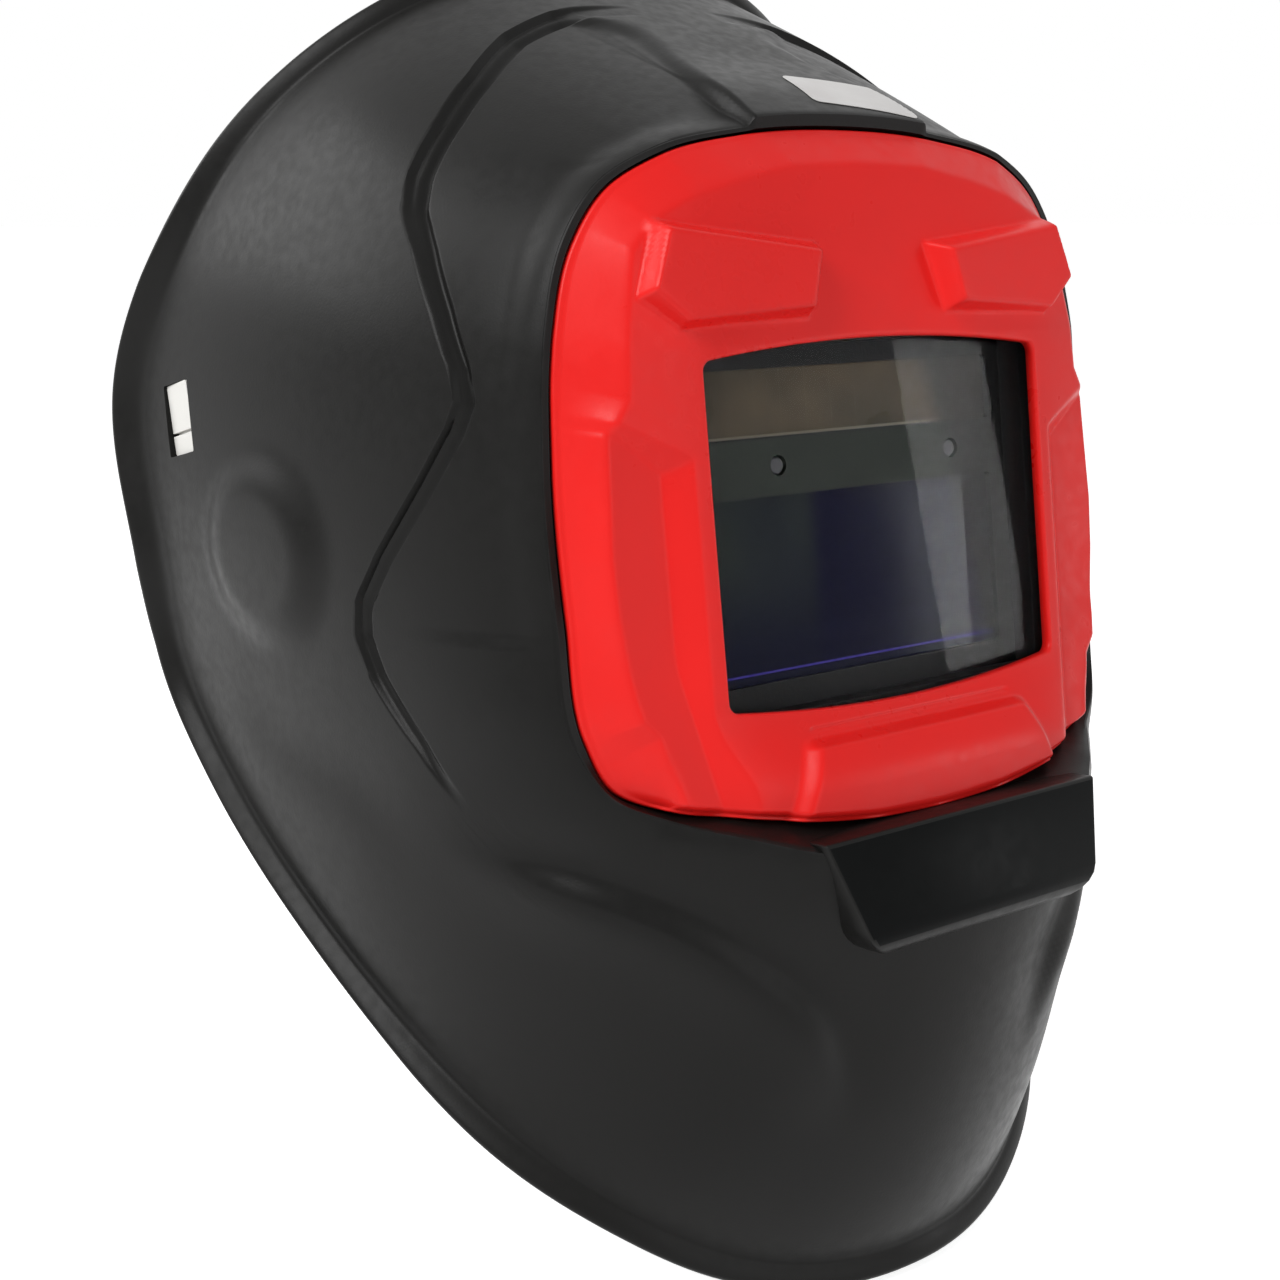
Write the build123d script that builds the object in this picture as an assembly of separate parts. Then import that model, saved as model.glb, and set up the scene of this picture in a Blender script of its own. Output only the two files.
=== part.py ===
"""Auto-darkening welding helmet: black shell, red front bezel, filter cartridge and head harness.

Frame: the origin is on the axis of the two side pivots, midway between them. The helmet faces
-Y, +Z is up, and +X is the wearer's left. Millimetres and degrees.
"""

from build123d import *
import os
import numpy as np
from math import acos, cos, degrees, hypot, pi, radians, sin, tan

os.makedirs("parts", exist_ok=True)

# ---------------------------------------------------------------- driving dimensions
# Window plane: stands in front of the eyes and leans back.
window_ahead = 140.0  # window centre in front of the pivot axis
window_below = 17.0  # and below it
window_lean = 8.2
window_width = 102.0
window_height = 76.0
window_bow = 3.5  # the top and bottom edges bow out by this
window_corner = 6.0

# Shell, sizes of the ring just inside the rolled rim
shell_half_width = 115.0
shell_crown = 113.0  # above the pivots
shell_chin = 194.0  # below the pivots
shell_wall = 3.0
rim_width = 9.0
rim_flare = 35.0  # the rolled rim turns outwards by this angle
plate_front = -18.0  # front plate behind the bezel, along the window's normal
plate_thickness = 2.5
pocket_wall = 2.5
pocket_foot = 1.5  # pocket wall runs past the back of the plate
chin_block = dict(top=(42.6, -66.4, 17.9), bottom=(34.3, -93.0, 24.2), depth=14.0)

# Bezel, in the window plane: half outline from the top centre to the bottom centre
bezel_outline = [(0, 89), (30, 87.2), (52, 82.5), (65, 75.5), (73.5, 64), (79, 46), (81, 20),
                 (81, -15), (80, -41), (75.5, -52), (65.5, -57.6), (52, -60.8), (41, -63), (20, -65.8),
                 (0, -66.5)]
bezel_wall = 2.6
bezel_band = 10.0  # width of the bevel round the edge
bezel_gap = 0.5
boss_places = [(72, 30), (72, -30), (-72, 30), (-72, -30)]
boss_radius = 4.0
screw_radius = 1.6
screw_head = 3.0
screw_gap = 0.1  # round the screws' shanks
screw_reach = 5.5  # the bezel's screws end this far in front of the plate
screw_head_depth = 2.0
cross_length, cross_width, cross_depth = 4.0, 0.8, 0.8  # recess in a screw head

# Filter cartridge and its tray, along the window's normal from the plane n = 0
tray_front = -5.0
tray_back = -24.0
tray_wall = 3.4
tray_flange = 5.0
tray_flange_thickness = 2.3
tray_gap = 0.3
lens_thickness = 1.0
lens_step = 4.0  # width of the step the cover lens rests on
filter_width = 110.0
filter_height = 90.0
filter_depth = 9.0
filter_front = -13.0
filter_gap = 0.3
case_skin = 1.5
case_wall = 2.0
view_width = 92.0
view_low, view_high = -35.2, 7.3
solar_width = 94.0
solar_low, solar_high = 20.9, 36.4
sensor_places = {"arc_sensor_right": (-22.4, 14.2), "arc_sensor_left": (32.8, 14.2)}
sensor_radius = 2.1
glass_lap = 3.0  # glass and solar panel run behind the case by this
knob_row = 28.0  # height of the three control knobs above the window centre
knob_sizes = {"shade_knob": (0.0, 9.0), "sensitivity_knob": (-24.0, 7.0), "delay_knob": (24.0, 7.0)}
knob_depth = 6.5
spindle_radius = 1.5
battery_radius = 8.0
battery_thickness = 2.0
battery_place = (43.0, 30.0)
button_place = (-41.0, 15.5)
button_radius = 2.4
button_travel = 1.0
latch_size = (12.0, 16.0, 2.0)
latch_travel = 6.0
stud_radius = 1.5
stud_head = 1.2  # the stud's head laps the latch by this, and is as thick
latch_gap = 0.2  # between the latch and the tray, and the latch and the stud's head
latch_edge = 2.0  # of the latch beyond its slot when it is open
grip_size = (1.2, 3.0, 1.0)  # ridges pushed by a fingertip
pot_radius = 4.5
lens_margin = (3.0, 2.5)  # the inner lens laps the window by this

# Side pivots
slot_width = 13.5
slot_height = 18.5
slot_back = 6.2  # the slot's middle lies behind the pivot axis
slot_tilt = 13.0
slot_gap = 0.2
lug_flange = 4.0  # the lug's flange laps the wall by this
lug_flange_thickness = 2.5
lug_flange_gap = 2.0  # the wall curves in towards the flange's corners
lug_boss_radius = 9.0
lug_slit = 0.8
pin_radius = 4.0
running_gap = 0.05
washer_thickness = 1.0
washer_radius = 11.0
bridge_thickness = 3.0
bridge_foot = 3.0
bridge_reach = 24.0
stop_thickness = 2.4
stop_radius = 12.0
tension_knob_radius = 13.0
tension_knob_depth = 6.5
bridge_stand = 16.6  # outer face of the bridge off the band
bridge_low, bridge_high = -12.0, 20.0
foot_low, foot_high = 1.0, 16.0
sole_thickness = 2.0
stop_notches = (200, 235, 270)
stop_notch_radius = 2.0
stack_gap = 0.15

# Headband, in a plane tilted up at the front
band_tilt = 10.0
band_half_width = 80.0
band_front = 90.0
band_rear = 105.0
band_thickness = 2.2
band_height = 22.0
band_corner = 30.0
band_nose = 60.0  # depth of the elliptical front
band_end = 34.0  # the band stops this far from the middle at the back
pad_thickness = 5.0
pad_gap = 0.3
strap_thickness = 1.8
strap_gap = 0.3
strap_height = 20.0
strap_reach = 46.0
strap_tail = 18.0
pinion_pitch = 5.0
pinion_teeth = 10
tooth_height = 1.4
housing_half_width = 32.0
housing_height = 30.0
housing_wall = 2.0
ratchet_knob_radius = 17.0
ratchet_knob_depth = 14.0
ratchet_turn = 90.0
crown_strap_height = 100.0
crown_strap_width = 15.0
crown_strap_thickness = 1.6
crown_hole_radius = 2.1
crown_hole_step = 8  # degrees round the crown
peg_radius = 2.0
peg_head_radius = 5.0
peg_foot_radius = 2.8
loop_width = 4.0  # the band ends in loops that hold the rack straps
loop_wall = 1.6
vent_step = 16.0
vent_size = (9.0, 4.0)
tooth_width = 1.1
rack_window = 15.0  # half length of the toothed window
shaft_radius = 3.0
housing_depth = 7.0  # of the ratchet's cup behind the band
cover_thickness = 2.35
sweat_reach = (62.0, 46.0)  # the sweatband goes this far to the sides and back
sweat_overhang = 2.0  # above and below the band
strap_lap = 0.5  # gap between the two crown straps where they lap

# ---------------------------------------------------------------- frames and small helpers
window_centre = Vector(0, -window_ahead, -window_below)
lean_sin, lean_cos = sin(radians(window_lean)), cos(radians(window_lean))
window_plane = Plane(origin=window_centre, x_dir=(1, 0, 0), z_dir=(0, -lean_cos, lean_sin))
tilt_sin, tilt_cos = sin(radians(band_tilt)), cos(radians(band_tilt))
band_plane = Plane(origin=(0, 0, 0), x_dir=(1, 0, 0), z_dir=(0, tilt_sin, tilt_cos))
sides = {"left": 1, "right": -1}
parts = {}


def in_window(solid):
    return window_plane.location * solid


def in_band(solid):
    return band_plane.location * solid


def add(name, solid):
    """Keep a finished piece under its node name."""
    parts[name] = solid


def box(x, y, z):
    """A box from three (low, high) pairs."""
    centre = [(low + high) / 2 for low, high in (x, y, z)]
    return Pos(*centre) * Box(x[1] - x[0], y[1] - y[0], z[1] - z[0])


def slab(width, height, low, high, at=(0, 0), radius=0.0):
    """A plate in the window's own axes, with rounded corners."""
    face = RectangleRounded(width, height, radius) if radius else Rectangle(width, height)
    return extrude(Pos(at[0], at[1], low) * face, high - low)


def rod(radius, low, high, at=(0, 0)):
    """A cylinder along the local Z axis between two heights."""
    return extrude(Pos(at[0], at[1], low) * Circle(radius), high - low)


def rod_x(radius, low, high, at=(0, 0)):
    """A cylinder along X; at is its (y, z)."""
    circle = Plane(origin=(low, at[0], at[1]), z_dir=(1, 0, 0)) * Circle(radius)
    return extrude(circle, amount=high - low, dir=(1, 0, 0))


def lobed(radius, depth, lobes, bite):
    """A grip disc with scallops round its edge, standing on z = 0."""
    disc = extrude(Circle(radius), depth)
    cutter = extrude(Circle(bite), depth)
    ring = radius + bite * 0.55
    for k in range(lobes):
        turn = 2 * pi * k / lobes
        disc -= Pos(ring * cos(turn), ring * sin(turn), 0) * cutter
    return disc


# ---------------------------------------------------------------- smooth ring functions
def ring_spline(stations, values):
    """Smooth closed curve value(angle) through half a ring of stations and its mirror image."""
    half = [(radians(s), v) for s, v in zip(stations, values)]
    knots = sorted(half + [(pi - s, v) for s, v in half[1:-1]])
    x = np.array([k[0] for k in knots])
    y = np.array([k[1] for k in knots], float)
    count = len(x)
    step = np.diff(np.append(x, x[0] + 2 * pi))
    matrix, right = np.zeros((count, count)), np.zeros(count)
    for i in range(count):
        after = (i + 1) % count
        matrix[i, i - 1] += step[i - 1]
        matrix[i, i] += 2 * (step[i - 1] + step[i])
        matrix[i, after] += step[i]
        right[i] = 6 * ((y[after] - y[i]) / step[i] - (y[i] - y[i - 1]) / step[i - 1])
    bend = np.linalg.solve(matrix, right)

    def value(angle):
        angle = (angle - x[0]) % (2 * pi) + x[0]
        i = min(max(int(np.searchsorted(x, angle, side="right")) - 1, 0), count - 1)
        j, t, h = (i + 1) % count, angle - x[i], step[i]
        return ((bend[i] * (h - t) ** 3 + bend[j] * t**3) / (6 * h)
                + (y[i] / h - bend[i] * h / 6) * (h - t) + (y[j] / h - bend[j] * h / 6) * t)

    return value


outline_edge = Edge.make_spline([Vector(u, w, 0) for u, w in bezel_outline],
                                tangents=[Vector(1, 0, 0), Vector(-1, 0, 0)])
outline_points = [outline_edge @ (k / 400) for k in range(401)]
outline_angles = np.array([np.arctan2(p.Y, p.X) for p in outline_points])[::-1]
outline_radii = np.array([hypot(p.X, p.Y) for p in outline_points])[::-1]


def outline_radius(angle):
    """Distance from the window centre to the bezel's edge, in the window plane."""
    folded = np.arcsin(sin(angle))
    return float(np.interp(folded, outline_angles, outline_radii))


def facing_front(face):
    """The face turned so that it extrudes along +Z."""
    return face if face.normal_at().Z > 0 else -face


def outline_face(offset):
    """The bezel's outline, grown by an offset, as a face in the window's own axes."""
    half = []
    for k in range(len(bezel_outline)):
        u, w = bezel_outline[k]
        reach = hypot(u, w)
        half.append(Vector(u, w, 0) * ((reach + offset) / reach))
    right = Edge.make_spline(half, tangents=[Vector(1, 0, 0), Vector(-1, 0, 0)])
    left = right.mirror(Plane.YZ)
    return facing_front(Face(Wire([right, left])))


def bezel_height(u, w):
    """Height of the bezel's front over the window plane."""
    angle = np.arctan2(w, u)
    side = -4.4 * max(0.0, abs(u) - window_width / 2) / 21
    top = -3.0 * max(0.0, w - window_height / 2 - 3) / 40
    low = 7.5 * min(1.0, max(0.0, -w - window_height / 2) / 25) * max(0.0, 1 - (abs(u) / 66) ** 4)
    drop = 6 + 5 * cos(2 * angle) + 4 * max(0.0, sin(angle)) ** 4
    inside = (outline_radius(angle) - hypot(u, w)) / bezel_band
    return side + top + low - drop * max(0.0, 1 - inside) ** 2


def window_point(u, w, n):
    """A point given in the window's own axes, in the helmet's frame."""
    return np.array([u, -window_ahead - n * lean_cos + w * lean_sin,
                     -window_below + n * lean_sin + w * lean_cos])


# ---------------------------------------------------------------- shell surface
# Guide stations round the window: angle, then how far the shell's edge stands (out, forward) of
# the bezel, then (radius, y) of the shoulder, the flank and the neck ring.
shell_guides = [
    (90, (1.0, 0.0), (99, -97), (116, -58), (130, -29)),
    (62, (1.3, 0.0), (103, -105), (125, -55), (131, -24)),
    (45, (2.0, 0.0), (107, -103), (125, -55), (128, -7)),
    (30, (2.0, 0.0), (106, -104), (120, -52), (122, 9)),
    (10, (2.0, 0.0), (100, -108), (112.5, -50), (115, 28)),
    (-10, (2.0, 0.0), (101, -112), (113, -55), (115, 20)),
    (-30, (1.8, 0.8), (112, -122), (125, -60), (126.5, 6)),
    (-42, (0.9, 6.0), (112, -142), (140, -85), (142, -36)),
    (-52, (2.5, 10.5), (105, -155), (146, -112), (156, -77)),
    (-60, (3.0, 15.0), (100, -166), (143, -133), (166, -108)),
    (-68, (2.4, 14.0), (92, -171), (144, -154), (172, -131)),
    (-75, (2.0, 13.0), (86, -172.5), (142, -163), (176.5, -143)),
    (-90, (2.0, 12.0), (80, -173), (141, -171), (177, -155)),
]
stations = [row[0] for row in shell_guides]
side_radius = 115.0  # radius of the neck ring at the pivots in the table above
crown_radius, chin_radius = shell_guides[0][4][0], shell_guides[-1][4][0]
stretch_side = shell_half_width / side_radius
stretch_up = (shell_crown + window_below) / crown_radius
stretch_down = (shell_chin - window_below) / chin_radius
edge_out = ring_spline(stations, [row[1][0] for row in shell_guides])
edge_forward = ring_spline(stations, [row[1][1] for row in shell_guides])
guide_rings = [(ring_spline(stations, [row[k][0] for row in shell_guides]),
                ring_spline(stations, [row[k][1] for row in shell_guides])) for k in (2, 3, 4)]


def bezel_edge(angle, out=0.0):
    """A point just outside the bezel's front edge."""
    reach = outline_radius(angle)
    u, w = reach * cos(angle), reach * sin(angle)
    height = bezel_height(u, w)
    grown = reach + bezel_gap + out
    return window_point(grown * cos(angle), grown * sin(angle), height)


def foot_point(angle, out):
    """A point on the back end of the pocket wall."""
    grown = outline_radius(angle) + bezel_gap + out
    back = plate_front - plate_thickness - pocket_foot
    return window_point(grown * cos(angle), grown * sin(angle), back)


def skin_point(angle, t):
    """The shell's outer surface: t runs from the edge round the bezel to the neck ring."""
    start = bezel_edge(angle, edge_out(angle)) - np.array([0, edge_forward(angle), 0])
    points = [start]
    for radius, y in guide_rings:
        across = radius(angle) * cos(angle) * stretch_side
        stretch = stretch_up if sin(angle) > 0 else stretch_down
        rise = radius(angle) * sin(angle) * stretch
        points.append(np.array([across, y(angle), -window_below + rise]))
    a, b, c, d = points
    s = 1 - t
    return s**3 * a + 3 * s * s * t * b + 3 * s * t * t * c + t**3 * d


def skin_frame(angle, t):
    """Outward normal and the direction towards the rim at a point of the skin."""
    tiny = 1e-4
    along = skin_point(angle, t + tiny) - skin_point(angle, t - tiny)
    around = skin_point(angle + tiny, t) - skin_point(angle - tiny, t)
    normal = np.cross(along, around)
    outward = skin_point(angle, t) - np.array([0, -40.0, -window_below])
    if normal @ outward < 0:
        normal = -normal
    return normal / np.linalg.norm(normal), along / np.linalg.norm(along)


ring_count = 61
ring_angles = np.radians(np.linspace(90, -90, ring_count))
skin_rows = 11
inner_start = 0.1  # the inner skin starts this far behind the edge


def ring(point):
    """Half a ring of points, exactly on the middle plane at both ends."""
    points = [point(angle) for angle in ring_angles]
    points[0][0] = points[-1][0] = 0.0
    return [Vector(*p) for p in points]


def rim_points(angle):
    """Outer and inner edge of the rolled rim, and where its inside meets the inner skin."""
    neck = skin_point(angle, 1.0)
    normal, along = skin_frame(angle, 1.0)
    flare = radians(rim_flare)
    lip = cos(flare) * along + sin(flare) * normal
    lip_normal = cos(flare) * normal - sin(flare) * along
    outer = neck + rim_width * lip
    inner_neck = neck - shell_wall * (normal - tan(flare / 2) * along)
    return outer, outer - shell_wall * lip_normal, inner_neck


def inner_point(angle, t):
    if t > 0.999:
        return rim_points(angle)[2]
    return skin_point(angle, t) - shell_wall * skin_frame(angle, t)[0]


def ring_edge(point):
    """Half a ring as one curve that crosses the middle plane squarely at both ends."""
    return Edge.make_spline(ring(point), tangents=[Vector(1, 0, 0), Vector(-1, 0, 0)],
                            parameters=list(np.linspace(0, 1, ring_count)))


def skin_face(point, start):
    """A smooth face lofted through half rings, and its own edges along the first and last."""
    rings = [ring_edge(lambda a: point(a, t)) for t in np.linspace(start, 1.0, skin_rows)]
    face = Shell.make_loft([Wire([edge]) for edge in rings]).faces()[0]
    ends = []
    for edge in (rings[0], rings[-1]):
        near = min(face.edges(), key=lambda e: (e @ 0.5 - edge @ 0.5).length)
        same_way = (near @ 0 - edge @ 0).length < (near @ 0 - edge @ 1).length
        ends.append(near if same_way else near.reversed())
    return face, ends


def make_skin():
    """The shell as one closed wall: skin, rolled rim, inner skin and the bezel's pocket."""
    outer, (edge_ring, neck_ring) = skin_face(skin_point, 0.0)
    inner, (inner_edge, inner_neck) = skin_face(inner_point, inner_start)
    front_edge = ring_edge(bezel_edge)
    loops = [[front_edge, edge_ring],
             [neck_ring, ring_edge(lambda a: rim_points(a)[0]),
              ring_edge(lambda a: rim_points(a)[1]), inner_neck],
             [inner_edge, ring_edge(lambda a: foot_point(a, pocket_wall)),
              ring_edge(lambda a: foot_point(a, 0.0)), front_edge]]
    faces = [outer, inner]
    for loop in loops:
        for first, second in zip(loop, loop[1:]):
            faces.append(Face.make_surface_from_curves(first, second))
    faces += [face.mirror(Plane.YZ) for face in faces]
    return Solid(Shell(faces))


def cartridge_cut(extra, low, high):
    """The filter tray's outside, grown by a clearance."""
    width = filter_width + 2 * (filter_gap + tray_wall + extra)
    height = filter_height + 2 * (filter_gap + tray_wall + extra)
    return slab(width, height, low, high)


def side_wall_x():
    """Distance of the shell's outer surface from the middle plane at the pivots."""
    best = min((abs(p[1]) + abs(p[2]), p[0]) for angle in np.radians(np.linspace(0, 20, 81))
               for p in [skin_point(angle, t) for t in np.linspace(0.7, 1, 61)])
    return best[1]


wall_out = side_wall_x()
wall_in = wall_out - shell_wall
plate_back = plate_front - plate_thickness
tray_half = (filter_width / 2 + filter_gap + tray_wall, filter_height / 2 + filter_gap + tray_wall)
tray_screws = [(i * (tray_half[0] + 2.4), j * (tray_half[1] + 2.4)) for i in (1, -1) for j in (1, -1)]


def slot_frame(sign):
    """Plane of a side slot: its Z axis points out of the shell, its Y axis up the slot."""
    tilt = radians(slot_tilt)
    up = Vector(0, sin(tilt), cos(tilt))
    out = Vector(sign, 0, 0)
    return Plane(origin=(0, slot_back, 0), x_dir=up.cross(out), z_dir=out)


def make_shell():
    shell = make_skin()
    plate = extrude(Pos(0, 0, plate_back) * outline_face(bezel_gap + pocket_wall / 2), plate_thickness)
    plate -= cartridge_cut(tray_gap, plate_back - 1, plate_front + 1)
    for at in tray_screws + boss_places:
        plate -= rod(screw_radius + screw_gap, plate_back - 1, plate_front + 1, at)
    shell += in_window(plate)
    top, low = chin_block["top"], chin_block["bottom"]
    corners = [(top[0], *top[1:]), (-top[0], *top[1:]), (-low[0], *low[1:]), (low[0], *low[1:])]
    front = Face(Wire.make_polygon([Vector(*window_point(*c)) for c in corners], close=True))
    inward = front.normal_at() * (1 if front.normal_at().Y > 0 else -1)
    block = Solid.extrude(front, inward * chin_block["depth"])
    shell += min((block - shell).solids(), key=lambda piece: piece.center().Y)
    for sign in sides.values():
        hole = extrude(Pos(0, 0, wall_in - 8) * Rectangle(slot_width, slot_height), 20)
        shell -= slot_frame(sign).location * hole
    return shell


def make_bezel():
    """Red front cover: a thin moulding over the pocket, with a window and four screw bosses."""
    reach_u, reach_low, reach_high = 90.0, -76.0, 98.0
    grid = [[Vector(u, w, bezel_height(u, w)) for w in np.linspace(reach_low, reach_high, 45)]
            for u in np.linspace(-reach_u, reach_u, 46)]
    front = Face.make_surface_from_array_of_points(grid, tol=0.01)
    block = Solid.extrude(front, Vector(0, 0, -60))
    tall = 60.0
    cover = block & extrude(Pos(0, 0, plate_front + 0.2) * outline_face(0), tall)
    inside = block.moved(Location((0, 0, -bezel_wall)))
    inside &= extrude(Pos(0, 0, plate_front - 1) * outline_face(-bezel_wall), tall)
    cover -= inside
    for at in boss_places:
        cover += block.moved(Location((0, 0, -1))) & rod(boss_radius, plate_front + 0.2, tall, at)
        cover -= rod(screw_radius + screw_gap, plate_front - 1, plate_front + screw_reach + 0.5, at)
    half_w, half_h = window_width / 2, window_height / 2
    bow = half_h + window_bow
    hole = Wire([Edge.make_three_point_arc((-half_w, half_h), (0, bow), (half_w, half_h)),
                 Edge.make_line((half_w, half_h), (half_w, -half_h)),
                 Edge.make_three_point_arc((half_w, -half_h), (0, -bow), (-half_w, -half_h)),
                 Edge.make_line((-half_w, -half_h), (-half_w, half_h))])
    hole = facing_front(Face(hole.fillet_2d(window_corner, hole.vertices())))
    cover -= extrude(Pos(0, 0, plate_front) * hole, tall)
    return in_window(cover)


def make_screws(places, low, high):
    """Self-tapping screws driven from behind the plate."""
    screws = []
    for at in places:
        shank = rod(screw_radius, low, high, at)
        under = low - screw_head_depth
        head = rod(screw_head, under, low, at)
        cross = slab(cross_length, cross_width, under, under + cross_depth, at)
        cross += slab(cross_width, cross_length, under, under + cross_depth, at)
        screws.append(in_window(shank + head - cross))
    return Compound(screws)


add("shell", make_shell())
add("front_bezel", make_bezel())
add("bezel_screws", make_screws(boss_places, plate_back - 0.05, plate_front + screw_reach))


# ---------------------------------------------------------------- filter tray and cartridge
flange_front = plate_back - 0.1
flange_back = flange_front - tray_flange_thickness
filter_back = filter_front - filter_depth
shell_split = filter_front - 4.0  # the front and rear cases meet here
pocket_size = (filter_width + 2 * filter_gap, filter_height + 2 * filter_gap)
lens_seat = tray_front - lens_thickness - 0.3
stud_u = tray_half[0] - tray_wall / 2
glass_span = (view_width + 2 * glass_lap, view_high - view_low + 2 * glass_lap)
view_middle = (view_low + view_high) / 2
latch_low = tray_back - latch_gap - latch_size[2]


def make_tray():
    """Box frame behind the plate: cover lens in front, cartridge pushed in from behind."""
    tray = cartridge_cut(0, tray_back, tray_front)
    flange = [2 * (half + tray_flange) for half in tray_half]
    tray += slab(*flange, flange_back, flange_front, radius=3)
    inner = [size - 2 * lens_step for size in pocket_size]
    tray -= slab(*pocket_size, tray_back - 1, filter_front + 0.1)
    tray -= slab(*inner, tray_back, tray_front + 1)
    tray -= slab(*pocket_size, lens_seat, tray_front + 1)
    for at in tray_screws:
        tray -= rod(screw_radius + screw_gap, flange_back - 1, flange_front + 1, at)
    for sign in sides.values():
        stud_end = latch_low - latch_gap
        tray += rod(stud_radius, tray_back, stud_end, (sign * stud_u, 0))
        tray += rod(stud_radius + stud_head, stud_end - 1.0, stud_end, (sign * stud_u, 0))
    return in_window(tray)


def make_latch(sign):
    """Sliding latch over the cartridge's edge, guided by a headed stud in a slot."""
    length, width, thickness = latch_size
    middle = stud_u + length / 2 - stud_radius - latch_edge - latch_travel
    plate = slab(length, width, latch_low, latch_low + thickness, (sign * middle, 0), radius=1.5)
    slot = slab(latch_travel + 2 * (stud_radius + 0.15), 2 * (stud_radius + 0.15),
                latch_low - 1, tray_back, (sign * (stud_u - latch_travel / 2), 0), radius=stud_radius)
    plate -= slot
    for end in (-1, 1):
        ridge_wide, ridge_long, ridge_high = grip_size
        at = (sign * (middle + length / 2 - ridge_wide), end * (width / 2 - ridge_long))
        plate += slab(ridge_wide, ridge_long, latch_low - ridge_high, latch_low, at)
    return in_window(plate)


def make_front_case():
    """Cartridge front: solar window, two sensor holes and the viewing window."""
    case = slab(filter_width, filter_height, shell_split, filter_front, radius=2)
    hollow = [filter_width - 2 * case_wall, filter_height - 2 * case_wall]
    case -= slab(*hollow, shell_split - 1, filter_front - case_skin)
    case -= slab(solar_width, solar_high - solar_low, shell_split, filter_front + 1,
                 (0, (solar_low + solar_high) / 2), radius=1)
    case -= slab(view_width, view_high - view_low, shell_split, filter_front + 1,
                 (0, view_middle), radius=1)
    for at in sensor_places.values():
        case -= rod(sensor_radius + 0.3, shell_split, filter_front + 1, at)
    return in_window(case)


def make_rear_case():
    """Cartridge back: a tray with the viewing window and holes for spindles and button."""
    case = slab(filter_width, filter_height, filter_back, shell_split, radius=2)
    hollow = [filter_width - 2 * case_wall, filter_height - 2 * case_wall]
    case -= slab(*hollow, filter_back + case_skin, shell_split + 1)
    case -= slab(view_width, view_high - view_low, filter_back - 1, shell_split,
                 (0, view_middle), radius=1)
    for u, _ in knob_sizes.values():
        case -= rod(spindle_radius + 0.3, filter_back - 1, shell_split, (u, knob_row))
    case -= rod(button_radius + 0.2, filter_back - 1, shell_split, button_place)
    return in_window(case)


def make_inner_parts():
    """What the cartridge holds, stacked from its front skin to its floor."""
    top = filter_front - case_skin - 0.1
    solar = slab(solar_width + 4, solar_high - solar_low + 2, top - 1.2, top,
                 (0, (solar_low + solar_high) / 2))
    add("solar_panel", in_window(solar))
    glass = slab(*glass_span, top - 1.1, top, (0, view_middle))
    add("uv_filter_glass", in_window(glass))
    cell = slab(*glass_span, top - 1.3 - 2.6, top - 1.3, (0, view_middle))
    add("lcd_cell", in_window(cell))
    board_low = view_middle + glass_span[1] / 2 + 0.6
    board_high = filter_height / 2 - case_wall - 0.8
    board_top = top - 1.2 - 0.4
    board_back = board_top - 1.2
    board = slab(filter_width - 2 * case_wall - 4, board_high - board_low, board_back, board_top,
                 (0, (board_low + board_high) / 2))
    add("circuit_board", in_window(board))
    for name, at in sensor_places.items():
        barrel = rod(sensor_radius, board_top, filter_front - 0.6, at)
        add(name, in_window(fillet(barrel.faces().sort_by(Axis.Z)[-1].edges(), 0.5)))
    floor = filter_back + case_skin
    for side, sign in sides.items():
        at = (sign * battery_place[0], battery_place[1])
        cell = rod(battery_radius, floor + 0.1, floor + 0.1 + battery_thickness, at)
        add(f"battery_{side}", in_window(cell))
    pots = []
    for u, _ in knob_sizes.values():
        body = rod(pot_radius, floor + 0.1, board_back - 0.05, (u, knob_row))
        shaft = rod(spindle_radius, filter_back - 0.4 - knob_depth + 1.5, floor + 0.2, (u, knob_row))
        pots.append(in_window(body + shaft))
    add("control_pots", Compound(pots))


def make_knob(u, radius):
    """Control knob on a spindle, with a pointer ridge."""
    knob = lobed(radius, knob_depth, 10, 1.2)
    knob += slab(1.4, radius - 1.5, -0.8, 0, (0, radius / 2 - 0.2))
    knob -= rod(spindle_radius + running_gap, 1.45, knob_depth + 1)
    return in_window(Pos(u, knob_row, filter_back - 0.4 - knob_depth) * knob)


add("lens_tray", make_tray())
add("tray_screws", make_screws(tray_screws, flange_back - 0.05, plate_front - 0.3))
lens = slab(pocket_size[0] - 0.4, pocket_size[1] - 0.4, lens_seat + 0.1, lens_seat + 0.1 + lens_thickness)
add("cover_lens", in_window(lens))
add("filter_front_case", make_front_case())
add("filter_rear_case", make_rear_case())
make_inner_parts()
inner_size = (view_width + 2 * lens_margin[0], view_high - view_low + 2 * lens_margin[1])
inner_lens = slab(*inner_size, filter_back - 0.1 - lens_thickness, filter_back - 0.1,
                  (0, view_middle - 0.5), radius=2)
add("inner_cover_lens", in_window(inner_lens))
for name, (u, radius) in knob_sizes.items():
    add(name, make_knob(u, radius))
button = rod(button_radius, filter_back - 2.0, filter_back + case_skin + 0.2, button_place)
button += rod(button_radius + 0.8, filter_back + case_skin + 0.1, filter_back + case_skin + 0.9,
              button_place)
add("test_button", in_window(button))
for side, sign in sides.items():
    add(f"filter_latch_{side}", make_latch(sign))


# ---------------------------------------------------------------- side pivots
lug_in = wall_in - lug_flange_gap - lug_flange_thickness  # inner face of the lug's flange
bridge_out = band_half_width + band_thickness + bridge_stand  # outer face of the bridge plate
washer_out = bridge_out + stack_gap + washer_thickness
lug_end = washer_out + stack_gap
bridge_in = bridge_out - bridge_thickness
stop_in = bridge_in - stack_gap - stop_thickness
knob_out = stop_in - stack_gap
pin_end = wall_in - 2.0


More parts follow.
